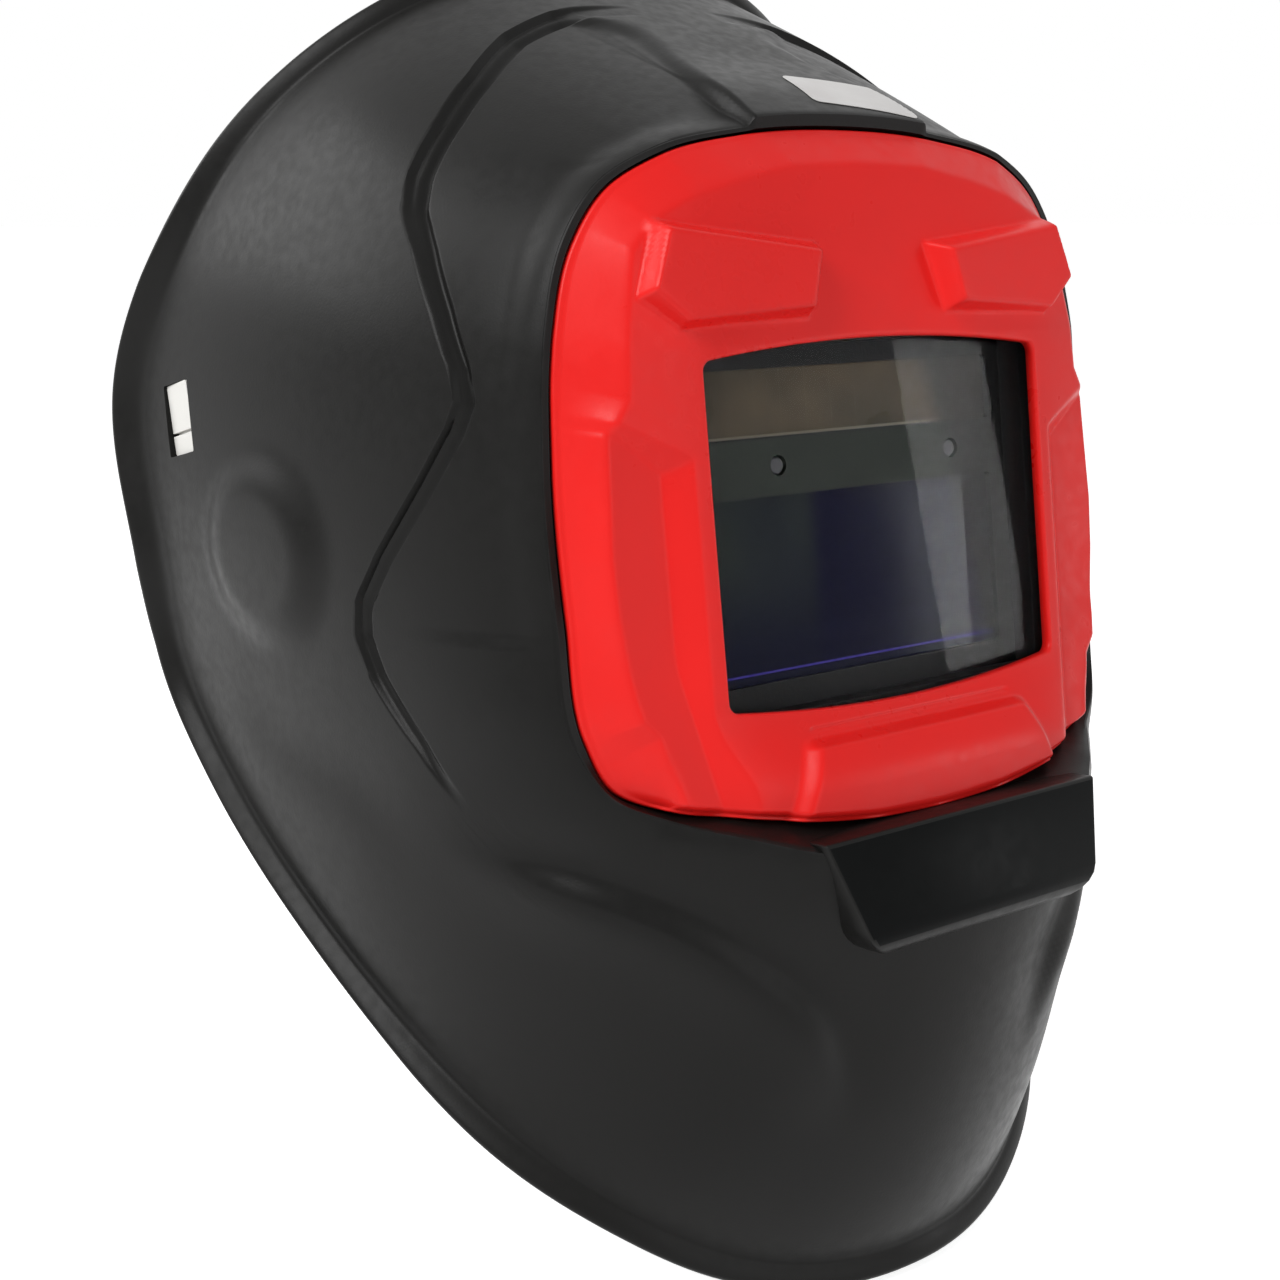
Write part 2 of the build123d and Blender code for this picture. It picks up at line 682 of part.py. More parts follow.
def mirrored(solid, sign):
    return solid if sign > 0 else solid.mirror(Plane.YZ)


def make_lug():
    """Nylon snap lug: fills the slot, with a flange and a bored boss inside the shell."""
    frame = slot_frame(1).location
    width, height = slot_width - 2 * slot_gap, slot_height - 2 * slot_gap
    block = extrude(Pos(0, 0, lug_in) * RectangleRounded(width, height, 0.8), wall_out - 0.4 - lug_in)
    block -= Pos(0, -height / 5, wall_out - 0.4) * Box(width + 2, lug_slit, 3)
    flange = extrude(Pos(0, 0, lug_in) * RectangleRounded(width + 2 * lug_flange,
                                                          height + 2 * lug_flange, 2),
                     lug_flange_thickness)
    lug = frame * (block + flange) + rod_x(lug_boss_radius, lug_end, lug_in + 1)
    return lug - rod_x(pin_radius + running_gap, lug_end - 1, pin_end + 0.5)


def make_bridge():
    """Bracket that stands the pivot off the headband: a plate on two feet."""
    foot_in = band_half_width + band_thickness
    plate = box((bridge_in, bridge_out), (-bridge_reach, bridge_reach), (bridge_low, bridge_high))
    plate = fillet(plate.edges().filter_by(Axis.X), 7)
    bridge = plate
    for end in (-1, 1):
        near, far = sorted((end * bridge_reach, end * (bridge_reach - bridge_foot)))
        leg = box((foot_in, bridge_out), (near, far), (foot_low, foot_high))
        near, far = sorted((end * bridge_reach, end * (bridge_reach - 3 * bridge_foot)))
        sole = box((foot_in, foot_in + sole_thickness), (near, far), (foot_low, foot_high))
        bridge += leg + sole
    return in_band(bridge) - rod_x(pin_radius + running_gap, bridge_in - 1, bridge_out + 1)


def make_stop():
    """Angle stop: a notched disc that sets how low the helmet comes down."""
    disc = rod_x(stop_radius, stop_in, stop_in + stop_thickness)
    for turn in stop_notches:
        at = (stop_radius * cos(radians(turn)), stop_radius * sin(radians(turn)))
        disc -= rod_x(stop_notch_radius, stop_in - 1, stop_in + stop_thickness + 1, at)
    return disc - rod_x(pin_radius + running_gap, stop_in - 1, stop_in + stop_thickness + 1)


def make_tension_knob():
    """Inner grip nut on the pivot pin."""
    knob = lobed(tension_knob_radius, tension_knob_depth, 8, 2.4)
    knob = Plane(origin=(knob_out - tension_knob_depth, 0, 0), x_dir=(0, 1, 0),
                 z_dir=(1, 0, 0)).location * knob
    return knob - rod_x(pin_radius + running_gap, knob_out - tension_knob_depth - 1, knob_out + 1)


for side, sign in sides.items():
    add(f"pivot_lug_{side}", mirrored(make_lug(), sign))
    pin = rod_x(pin_radius, knob_out - tension_knob_depth - 1.0, pin_end)
    add(f"pivot_pin_{side}", mirrored(pin, sign))
    washer = rod_x(washer_radius, bridge_out + stack_gap, washer_out)
    washer -= rod_x(pin_radius + running_gap, bridge_out, washer_out + 1)
    add(f"friction_washer_{side}", mirrored(washer, sign))
    add(f"pivot_bridge_{side}", mirrored(make_bridge(), sign))
    add(f"angle_stop_{side}", mirrored(make_stop(), sign))
    add(f"tension_knob_{side}", mirrored(make_tension_knob(), sign))


# ---------------------------------------------------------------- headband
nose_middle = -(band_front - band_nose)
strap_inside = band_rear - strap_gap  # outer face of the outer rack strap
strap_layers = {"left": strap_inside - strap_thickness,
                "right": strap_inside - 2 * strap_thickness - strap_gap}
strap_middle = band_height / 2


def band_outline(offset):
    """Plan of the head: elliptical front, straight sides, round corners and a flat back."""
    a, nose = band_half_width + offset, band_nose + offset
    rear, corner = band_rear + offset, band_corner + offset
    front = Pos(0, nose_middle) * Ellipse(a, nose)
    front &= Pos(0, nose_middle - nose) * Rectangle(4 * a, 2 * nose)
    length = rear - nose_middle
    back = Pos(0, nose_middle + length / 2) * Rectangle(2 * a, length)
    back = fillet(back.vertices().group_by(Axis.Y)[-1], corner)
    return front + back


def make_band():
    """Forehead band, open at the back, with a loop on each end for the rack strap."""
    band = extrude(band_outline(band_thickness), band_height) - extrude(band_outline(0), band_height)
    band -= box((-band_end, band_end), (band_rear - 5, band_rear + 10), (-1, band_height + 1))
    loop_front = strap_layers["right"] - strap_gap - loop_wall
    for sign in sides.values():
        span = tuple(sorted((sign * band_end, sign * (band_end + loop_width))))
        loop = box(span, (loop_front, band_rear), (-2.0, band_height + 2.0))
        low = strap_middle - strap_height / 2 - strap_gap
        loop -= box((span[0] - 1, span[1] + 1), (loop_front + loop_wall, band_rear),
                    (low, low + strap_height + 2 * strap_gap))
        band += loop
    for k in range(-3, 4):
        at = Pos(k * vent_step, nose_middle - band_nose)
        vent = extrude(at * Rectangle(vent_size[0], 30), vent_size[1])
        band -= Pos(0, 0, (band_height - vent_size[1]) / 2) * vent
    return in_band(band)


def make_strap(side, sign):
    """Rack strap: a flat strip with a toothed window for the pinion."""
    near = strap_layers[side]
    span = tuple(sorted((-sign * strap_tail, sign * strap_reach)))
    low = strap_middle - strap_height / 2
    strap = box(span, (near, near + strap_thickness), (low, low + strap_height))
    half = pinion_pitch + tooth_height + 0.2
    pitch = 2 * pi * pinion_pitch / pinion_teeth
    strap -= box((-rack_window, rack_window), (near - 1, near + strap_thickness + 1),
                 (strap_middle - half, strap_middle + half))
    edge = 1 if side == "left" else -1
    tips = sorted((strap_middle + edge * (half + 0.5), strap_middle + edge * (half - tooth_height)))
    count = int((rack_window - 1.5) / pitch)
    for k in range(-count, count):
        middle = (k + 0.5) * pitch
        flanks = (middle - tooth_width / 2, middle + tooth_width / 2)
        strap += box(flanks, (near, near + strap_thickness), tips)
    return in_band(strap)


def make_pinion():
    """Ten-tooth pinion between the two straps."""
    near = strap_layers["right"] - 0.1
    far = strap_inside + 0.1
    root = pinion_pitch - 0.55
    disc = extrude(Circle(root), far - near)
    for k in range(pinion_teeth):
        tooth = Pos(0, (root + pinion_pitch + 0.75) / 2 - 0.2, (far - near) / 2) * Box(
            tooth_width, pinion_pitch + 0.75 - root + 0.4, far - near)
        disc += Rot(0, 0, 360 * k / pinion_teeth) * tooth
    disc -= extrude(Circle(shaft_radius), far - near)
    return in_band(Pos(0, near, strap_middle) * Rot(-90, 0, 0) * disc)


housing_in = strap_layers["right"] - strap_gap  # front face of the strap channel
housing_out = band_rear + housing_depth
cover_front = housing_in - 0.05 - cover_thickness
knob_near = housing_out + 0.4


def make_housing():
    """Back half of the ratchet: a shallow cup with open ends for the straps."""
    low = strap_middle - housing_height / 2
    reach = housing_half_width
    cup = box((-reach, reach), (housing_in, housing_out), (low, low + housing_height))
    cup = fillet(cup.edges().filter_by(Axis.Y), 4)
    cup -= box((-reach - 1, reach + 1), (housing_in - 1, strap_inside + 0.4),
               (low + housing_wall, low + housing_height - housing_wall))
    cup -= box((-reach + 3, reach - 3), (strap_inside, housing_out - 2.5),
               (low + 4, low + housing_height - 4))
    bore = extrude(Circle(shaft_radius + running_gap), 20)
    return in_band(cup - Pos(0, housing_in, strap_middle) * Rot(-90, 0, 0) * bore)


def make_cover():
    """Front plate of the ratchet, towards the head."""
    low = strap_middle - housing_height / 2
    reach = housing_half_width
    plate = box((-reach, reach), (cover_front, housing_in - 0.05), (low, low + housing_height))
    return in_band(fillet(plate.edges().filter_by(Axis.Y), 4))


def make_ratchet_knob():
    """Grip knob with its shaft through the housing into the pinion."""
    knob = lobed(ratchet_knob_radius, ratchet_knob_depth, 12, 2.6)
    knob = fillet(knob.faces().sort_by(Axis.Z)[-1].edges(), 0.8)
    shaft_length = knob_near - strap_layers["right"] + 0.1
    knob += Pos(0, 0, -shaft_length) * extrude(Circle(shaft_radius - 0.02), shaft_length + 1)
    return in_band(Pos(0, knob_near, strap_middle) * Rot(-90, 0, 0) * knob)


def arc_strip(outer, inner, start, end, width):
    """Part of an elliptical hoop over the head; angles run from the wearer's left."""
    hoop = Ellipse(*outer) - Ellipse(*inner)
    far = 2 * outer[1]
    steps = [start + (end - start) * k / 12 for k in range(13)]
    fan = [(0, 0)] + [(far * cos(radians(s)), far * sin(radians(s))) for s in steps]
    hoop &= make_face(Polyline(*fan, close=True))
    solid = extrude(hoop, width / 2, both=True)
    return Rot(90, 0, 0) * solid


def make_crown_strap(sign):
    """Half of the crown strap; the right one lies on top of the left."""
    lift = 0.0 if sign > 0 else crown_strap_thickness + strap_lap
    a = band_half_width - 0.2
    b = crown_strap_height + lift
    outer, inner = (a, b), (a - crown_strap_thickness, b - crown_strap_thickness)
    strap = arc_strip(outer, inner, 3, 108, crown_strap_width)
    for k in range(-2, 3):
        turn = radians(90 + crown_hole_step * k)
        hole = Pos(a * cos(turn), 0, b * sin(turn) - 6) * extrude(Circle(crown_hole_radius), 12)
        strap -= hole
    return mirrored(strap, sign)


def make_peg():
    """Push peg through the overlap of the crown straps."""
    lift = crown_strap_thickness + strap_lap
    top = crown_strap_height + lift
    peg = rod(peg_radius, crown_strap_height - crown_strap_thickness - 1.4, top + 0.2)
    peg += rod(peg_head_radius, top + 0.1, top + 1.7)
    return peg + rod(peg_foot_radius, crown_strap_height - crown_strap_thickness - 1.6,
                     crown_strap_height - crown_strap_thickness - 0.2)


def make_sweatband():
    """Soft pad inside the front of the band."""
    pad = band_outline(-pad_gap) - band_outline(-pad_gap - pad_thickness)
    pad &= Pos(0, nose_middle - band_nose) * Rectangle(2 * sweat_reach[0], 2 * sweat_reach[1])
    solid = extrude(pad, band_height + 2 * sweat_overhang)
    return in_band(Pos(0, 0, -sweat_overhang) * solid)


add("forehead_band", make_band())
for side, sign in sides.items():
    add(f"rack_strap_{side}", make_strap(side, sign))
add("ratchet_pinion", make_pinion())
add("ratchet_housing", make_housing())
add("ratchet_cover", make_cover())
add("ratchet_knob", make_ratchet_knob())
for side, sign in sides.items():
    add(f"crown_strap_{side}", make_crown_strap(sign))
add("crown_peg", make_peg())
add("sweatband", make_sweatband())
rear_low = strap_middle - housing_height / 2 - 2
rear_pad = box((-housing_half_width - 2, housing_half_width + 2),
               (cover_front - 0.1 - pad_thickness, cover_front - 0.1),
               (rear_low, rear_low + housing_height + 4))
add("rear_pad", in_band(fillet(rear_pad.edges().filter_by(Axis.Y), 6)))

for name, solid in parts.items():
    export_step(solid, f"parts/{name}.step")
print(len(parts), "nodes; side wall at", round(wall_out, 2), "pin end", round(pin_end, 2))
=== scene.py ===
import math
import bpy
import numpy as np
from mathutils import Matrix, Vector


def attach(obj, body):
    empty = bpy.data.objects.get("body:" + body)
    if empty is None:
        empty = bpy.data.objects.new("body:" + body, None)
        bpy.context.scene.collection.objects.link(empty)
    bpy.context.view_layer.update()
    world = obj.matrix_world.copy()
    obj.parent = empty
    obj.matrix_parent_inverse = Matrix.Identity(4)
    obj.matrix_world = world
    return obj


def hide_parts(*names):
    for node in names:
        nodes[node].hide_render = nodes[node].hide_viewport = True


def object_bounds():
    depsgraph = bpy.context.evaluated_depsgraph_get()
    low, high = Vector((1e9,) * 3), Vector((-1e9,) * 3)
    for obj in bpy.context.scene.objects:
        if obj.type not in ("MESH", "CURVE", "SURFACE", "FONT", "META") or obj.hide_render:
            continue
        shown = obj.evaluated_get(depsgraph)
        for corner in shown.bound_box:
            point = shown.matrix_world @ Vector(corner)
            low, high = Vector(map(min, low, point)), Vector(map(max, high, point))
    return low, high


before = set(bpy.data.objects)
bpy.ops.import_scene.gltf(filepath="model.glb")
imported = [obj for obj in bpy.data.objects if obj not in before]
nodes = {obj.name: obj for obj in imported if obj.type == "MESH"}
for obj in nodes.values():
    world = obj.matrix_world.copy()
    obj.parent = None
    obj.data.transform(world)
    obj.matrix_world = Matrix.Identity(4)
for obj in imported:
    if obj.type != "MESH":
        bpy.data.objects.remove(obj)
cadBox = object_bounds()
print("frame loaded:", len(nodes), "nodes")

mm = 0.001
windowAhead, windowBelow, windowLean = 140.0, 17.0, math.radians(8.2)
leanSin, leanCos = math.sin(windowLean), math.cos(windowLean)


def clearSelection():
    if bpy.context.object and bpy.context.object.mode != "OBJECT":
        bpy.ops.object.mode_set(mode="OBJECT")
    bpy.ops.object.select_all(action="DESELECT")


def pick(obj):
    clearSelection()
    obj.select_set(True)
    bpy.context.view_layer.objects.active = obj


def applyAll(obj):
    pick(obj)
    for modifier in list(obj.modifiers):
        bpy.ops.object.modifier_apply(modifier=modifier.name)


def settle(obj):  # leaves the object at the origin with its place in its mesh
    pick(obj)
    bpy.ops.object.transform_apply(location=True, rotation=True, scale=True)


def outwardNormals(obj):
    pick(obj)
    bpy.ops.object.mode_set(mode="EDIT")
    bpy.ops.mesh.select_all(action="SELECT")
    bpy.ops.mesh.remove_doubles(threshold=1e-7)
    bpy.ops.mesh.normals_make_consistent(inside=False)
    bpy.ops.object.mode_set(mode="OBJECT")


def smoothStep(low, high, x):
    s = np.clip((x - low) / (high - low), 0.0, 1.0)
    return s * s * (3 - 2 * s)


def softMax(a, b, k):
    return 0.5 * (a + b + np.sqrt((a - b) ** 2 + k * k))


def softMin(a, b, k):
    return -softMax(-a, -b, k)


def ringOf(rows, name):  # a ring of loops: rows[i] holds one closed loop of points, in millimetres
    count, columns = len(rows), len(rows[0])
    clearSelection()
    bpy.ops.mesh.primitive_grid_add(x_subdivisions=columns, y_subdivisions=count, size=0.1)
    obj = bpy.context.object
    obj.name = obj.data.name = name
    places = np.stack(rows + rows[:1]) * mm
    places = np.concatenate([places, places[:, :1]], axis=1)  # the last ones meet the first and are merged
    obj.data.vertices.foreach_set("co", places.reshape(-1).astype(np.float32))
    obj.data.update()
    outwardNormals(obj)
    pick(obj)
    bpy.ops.object.shade_smooth()
    return obj


def ringCurve(stations, values):  # smooth closed curve through half a ring and its mirror image
    half = [(math.radians(s), v) for s, v in zip(stations, values)]
    knots = sorted(half + [(math.pi - s, v) for s, v in half[1:-1]])
    x, y = (np.array([k[i] for k in knots], float) for i in (0, 1))
    count = len(x)
    step = np.diff(np.append(x, x[0] + 2 * math.pi))
    matrix, right = np.zeros((count, count)), np.zeros(count)
    for i in range(count):
        after = (i + 1) % count
        matrix[i, i - 1] += step[i - 1]
        matrix[i, i] += 2 * (step[i - 1] + step[i])
        matrix[i, after] += step[i]
        right[i] = 6 * ((y[after] - y[i]) / step[i] - (y[i] - y[i - 1]) / step[i - 1])
    bend = np.linalg.solve(matrix, right)

    def value(angle):
        angle = (angle - x[0]) % (2 * math.pi) + x[0]
        i = np.clip(np.searchsorted(x, angle, side="right") - 1, 0, count - 1)
        j, t, h = (i + 1) % count, angle - x[i], step[i]
        return ((bend[i] * (h - t) ** 3 + bend[j] * t**3) / (6 * h)
                + (y[i] / h - bend[i] * h / 6) * (h - t) + (y[j] / h - bend[j] * h / 6) * t)

    return value


def throughPoints(points, count=400):  # smooth open curve through points, evenly spread
    p = np.array(points, float)
    reach = np.concatenate([[0], np.cumsum(np.linalg.norm(np.diff(p, axis=0), axis=1))])
    slope = np.gradient(p, reach, axis=0)
    s = np.linspace(0, reach[-1], count)
    i = np.clip(np.searchsorted(reach, s, side="right") - 1, 0, len(p) - 2)
    h = (reach[i + 1] - reach[i])[:, None]
    t = ((s - reach[i])[:, None]) / h
    return ((2 * t**3 - 3 * t**2 + 1) * p[i] + (t**3 - 2 * t**2 + t) * h * slope[i]
            + (-2 * t**3 + 3 * t**2) * p[i + 1] + (t**3 - t**2) * h * slope[i + 1])


bezelOutline = [  # half of the bezel's edge, from its top to its foot
    (0, 89), (30, 87.2), (52, 82.5), (65, 75.5), (73.5, 64), (79, 46), (81, 20), (81, -15), (80, -41),
    (75.5, -52), (65.5, -57.6), (52, -60.8), (41, -63), (20, -65.8), (0, -66.5),
]
mirroredOutline = [(-u, w) for u, w in bezelOutline[1:3]][::-1] + bezelOutline
mirroredOutline += [(-u, w) for u, w in bezelOutline[-3:-1]][::-1]
outlineCurve = throughPoints(mirroredOutline, 900)
outlineTurn = np.arctan2(outlineCurve[:, 1], outlineCurve[:, 0])
keep = np.abs(outlineTurn) <= math.pi / 2
outlineOrder = np.argsort(outlineTurn[keep])
outlineAngles = outlineTurn[keep][outlineOrder]
outlineRadii = np.hypot(outlineCurve[keep][:, 0], outlineCurve[keep][:, 1])[outlineOrder]


def outlineRadius(angle):  # from the window's middle to the bezel's edge
    return np.interp(np.arcsin(np.clip(np.sin(angle), -1, 1)), outlineAngles, outlineRadii)


bezelFace = dict(sideFrom=51, sideDrop=-4.4, sideRun=21, topFrom=41, topDrop=-3.0, topRun=40,
                 chinFrom=38, chinRise=7.5, chinRun=25, chinHalf=66)
bezelEdge = dict(drop=6, swing=5, crown=4)  # how far the edge lies below the face


def faceTop(w):
    return bezelFace["topDrop"] * np.maximum(0.0, w - bezelFace["topFrom"]) / bezelFace["topRun"]


def chinShare(u):
    return np.maximum(0.0, 1 - (np.abs(u) / bezelFace["chinHalf"]) ** 4)


def bezelBase(u, w):  # height of the bezel's face before its bevelled edge
    side = bezelFace["sideDrop"] * np.maximum(0.0, np.abs(u) - bezelFace["sideFrom"]) / bezelFace["sideRun"]
    down = np.clip((-w - bezelFace["chinFrom"]) / bezelFace["chinRun"], 0, 1)
    return side + faceTop(w) + bezelFace["chinRise"] * down * chinShare(u)


def bezelEdgeHeight(angle):
    reach = outlineRadius(angle)
    drop = (bezelEdge["drop"] + bezelEdge["swing"] * np.cos(2 * angle)
            + bezelEdge["crown"] * np.maximum(0.0, np.sin(angle)) ** 4)
    return bezelBase(reach * np.cos(angle), reach * np.sin(angle)) - drop


def windowPoint(u, w, n):
    u, w, n = np.broadcast_arrays(u, w, n)
    return np.stack([u, -windowAhead - n * leanCos + w * leanSin,
                     -windowBelow + n * leanSin + w * leanCos], axis=-1)


# helmet shell
shell = dict(columns=512, wall=3.0, rimFlare=35.0, gap=0.5, pocketWall=2.5, footHeight=-22.0,
             neck=0.985, rimPull=5.5, crowdAt=74, crowdWidth=8, crowdGain=2.4)
shellGuides = [
    (90, (1.0, 0.0), (99, -97), (116, -58), (130, -29)),
    (62, (1.3, 0.0), (103, -105), (125, -55), (131, -24)),
    (45, (2.0, 0.0), (107, -103), (125, -55), (128, -7)),
    (30, (2.0, 0.0), (106, -104), (120, -52), (122, 9)),
    (10, (2.0, 0.0), (100, -108), (112.5, -50), (115, 28)),
    (-10, (2.0, 0.0), (101, -112), (113, -55), (115, 20)),
    (-30, (1.8, 0.8), (112, -122), (125, -60), (126.5, 6)),
    (-42, (0.9, 6.0), (112, -142), (140, -85), (142, -36)),
    (-52, (2.5, 10.5), (105, -155), (146, -112), (156, -77)),
    (-60, (3.0, 15.0), (100, -166), (143, -133), (166, -108)),
    (-68, (2.4, 14.0), (92, -171), (144, -154), (172, -131)),
    (-75, (2.0, 13.0), (86, -172.5), (142, -163), (176.5, -143)),
    (-90, (2.0, 12.0), (80, -173), (141, -171), (177, -155)),
]
stations = [row[0] for row in shellGuides]
edgeOut = ringCurve(stations, [row[1][0] for row in shellGuides])
edgeForward = ringCurve(stations, [row[1][1] for row in shellGuides])
guideRings = [(ringCurve(stations, [row[k][0] for row in shellGuides]),
               ringCurve(stations, [row[k][1] for row in shellGuides])) for k in (2, 3, 4)]

# groove down each side: angle round the window, how far back it lies,
# half width of its floor, width of its wall, depth, sink of the panel before it
groove = [
    (84, 0.71, 2.2, 1.6, 0.0, 1.2), (76, 0.715, 2.2, 1.6, 0.9, 1.3), (73, 0.71, 2.2, 1.4, 1.7, 1.5),
    (65, 0.665, 2.2, 1.4, 2.0, 1.5), (57, 0.59, 2.2, 1.4, 2.0, 1.6), (50, 0.54, 2.1, 1.4, 2.0, 1.7),
    (42, 0.50, 1.8, 1.6, 1.9, 1.8), (38, 0.465, 1.0, 2.2, 1.7, 2.0), (34, 0.40, 0.6, 2.4, 1.5, 2.0),
    (28, 0.32, 0.5, 2.4, 1.4, 2.0), (22, 0.255, 0.6, 2.0, 1.4, 1.8), (18, 0.235, 1.3, 1.0, 1.7, 1.5),
    (14, 0.26, 1.5, 0.9, 1.8, 1.3), (6, 0.34, 1.5, 0.9, 1.8, 1.2), (-4, 0.45, 1.5, 0.9, 1.8, 1.1),
    (-10, 0.505, 1.5, 1.0, 1.8, 1.1), (-14, 0.51, 1.4, 1.2, 1.8, 1.1), (-19, 0.48, 1.1, 1.4, 1.7, 1.0),
    (-26, 0.41, 0.6, 1.6, 1.2, 0.6), (-32, 0.375, 0.2, 1.6, 0.0, 0.0), (-50, 0.36, 0.2, 1.6, 0.0, 0.0),
    (-90, 0.40, 0.2, 1.6, 0.0, 0.0),
]
rimWidths = [  # angle round the window, width of the rolled rim
    (-90, 6.0), (-75, 6.4), (-65, 7.2), (-55, 8.0), (-42, 8.2), (-32, 7.4), (-22, 7.0), (-12, 8.2), (0, 8.4),
    (25, 8.5), (40, 7.4), (50, 6.5), (62, 6.0), (90, 6.4),
]
crestLine = [  # how far back, half width of the crest
    (-130, 27), (-116, 26.5), (-97.5, 25), (-80, 22), (-68, 21), (-62, 27), (-56, 36), (-50, 46),
]
cheekCrease = [
    (104, -62, -86), (96.3, -99, -90), (89.5, -117.6, -90.5), (78.7, -133.6, -94), (66, -145.5, -99.5),
    (51.6, -155.6, -110), (39, -162, -124), (33, -163, -140), (30, -161, -156),
]
jawLine = [(109, 12, -74), (108.6, -19, -80), (105, -57, -85), (98, -90, -90)]
cheekDish = dict(y=-35.0, z=-29.0, halfY=30.0, halfZ=27.0, rise=2.6, flat=0.52, beyond=70)
moulding = dict(panelEnd=(-34, -22), panelSoft=1.5, panelStart=(0, 14), crestFrom=(40, 60), crestRise=2.4,
                crestFade=(10, 52), creaseFadeIn=(0.2, 0.45), creaseFadeOut=(0.75, 1.0))


def folded(angle):
    return np.degrees(np.arcsin(np.clip(np.sin(angle), -1, 1)))


def grooveValue(angle, column):
    table = sorted((row[0], row[column]) for row in groove)
    return np.interp(folded(angle), [row[0] for row in table], [row[1] for row in table])


def skinPoint(angle, t):
    reach = outlineRadius(angle)
    grown = reach + shell["gap"] + edgeOut(angle)
    start = windowPoint(grown * np.cos(angle), grown * np.sin(angle), bezelEdgeHeight(angle))
    start[..., 1] -= edgeForward(angle)
    points = [start]
    for radius, y in guideRings:
        r = radius(angle)
        points.append(np.stack([r * np.cos(angle), y(angle), -windowBelow + r * np.sin(angle)], axis=-1))
    a, b, c, d = points
    t = np.asarray(t)[..., None]
    s = 1 - t
    return s**3 * a + 3 * s * s * t * b + 3 * s * t * t * c + t**3 * d


skinCentre = np.array([0, -40.0, -windowBelow])  # inside the head, so it tells in from out


def skinFrame(angle, t):  # outward normal, and the direction from the bezel towards the rim
    tiny = 1e-3
    along = skinPoint(angle, t + tiny) - skinPoint(angle, t - tiny)
    around = skinPoint(angle + tiny, t) - skinPoint(angle - tiny, t)
    normal = np.cross(along, around)
    outward = skinPoint(angle, t) - skinCentre
    normal *= np.sign((normal * outward).sum(axis=-1))[..., None]
    return (normal / np.linalg.norm(normal, axis=-1)[..., None],
            along / np.linalg.norm(along, axis=-1)[..., None])


def nearest(points, curve):  # distance to a curve, where on it, and the offset from it
    best = np.full(len(points), 1e9)
    place = np.zeros(len(points), int)
    for k, c in enumerate(curve):
        gap = ((points - c) ** 2).sum(axis=1)
        closer = gap < best
        best[closer], place[closer] = gap[closer], k
    return np.sqrt(best), place / (len(curve) - 1), points - curve[place]


grooveAngles = np.radians(np.linspace(84, -32, 420))
grooveCurve = skinPoint(grooveAngles, grooveValue(grooveAngles, 1))
creases = [  # curve, step above it, step below it, width, sharpness
    (throughPoints(cheekCrease, 200), 2.6, 2.2, 15.0, 3.2),
    (throughPoints(jawLine, 120), 0.8, 0.8, 18.0, 7.0),
]


def mouldedSkin(angle, t):  # the skin with its groove, sunk panel, crest, dish and creases
    base = skinPoint(angle, t)
    normal, along = skinFrame(angle, t)
    p = base * np.where(base[:, :1] < 0, [[-1.0, 1, 1]], [[1.0, 1, 1]])
    out = normal * np.where(base[:, :1] < 0, [[-1.0, 1, 1]], [[1.0, 1, 1]])
    length = np.linalg.norm(skinPoint(angle, t + 0.01) - skinPoint(angle, t - 0.01), axis=1) / 0.02
    fromEdge = t * length
    gap, place, _ = nearest(p, grooveCurve)
    at = np.radians(84 - 116 * place)
    half, wall, depth, sink = (grooveValue(at, k) for k in (2, 3, 4, 5))
    side = np.sign(t - grooveValue(angle, 1))
    outside = side * gap
    lift = -depth * (1 - smoothStep(half, half + wall, gap))
    crestHalf = np.interp(p[:, 1], [row[0] for row in crestLine], [row[1] for row in crestLine])
    soft = np.interp(p[:, 1], [-116, -100, -60], [1.1, 1.8, 4.5])
    offCrest = smoothStep(-soft, soft, p[:, 0] - crestHalf)
    panelEnd = smoothStep(*moulding["panelEnd"], folded(angle))
    panelSoft = moulding["panelSoft"]
    inPanel = 1 - smoothStep(-panelSoft, panelSoft, outside)
    lift -= sink * offCrest * panelEnd * inPanel * smoothStep(*moulding["panelStart"], fromEdge)
    up = smoothStep(*moulding["crestFrom"], folded(angle))
    lift += moulding["crestRise"] * (1 - offCrest) * up * (1 - smoothStep(*moulding["crestFade"], fromEdge))
    reach = np.hypot((p[:, 1] - cheekDish["y"]) / cheekDish["halfY"],
                     (p[:, 2] - cheekDish["z"]) / cheekDish["halfZ"])
    dish = 1 - smoothStep(cheekDish["flat"], 1.0, reach)
    lift += cheekDish["rise"] * dish * (p[:, 0] > cheekDish["beyond"])
    for curve, high, low, width, sharp in creases:
        gap, place, offset = nearest(p, curve)
        run = np.gradient(curve, axis=0)[np.rint(place * (len(curve) - 1)).astype(int)]
        across = np.cross(run, out)
        above = (across * offset).sum(axis=1) / np.linalg.norm(across, axis=1)
        reach = np.where(above > 0, high, low) * np.tanh(above / sharp) * np.exp(-(gap / width) ** 2)
        fadeOut = smoothStep(*moulding["creaseFadeOut"], place)
        fade = smoothStep(*moulding["creaseFadeIn"], place) * (1 - fadeOut)
        lift -= reach * fade
    return base + normal * lift[:, None], normal, along


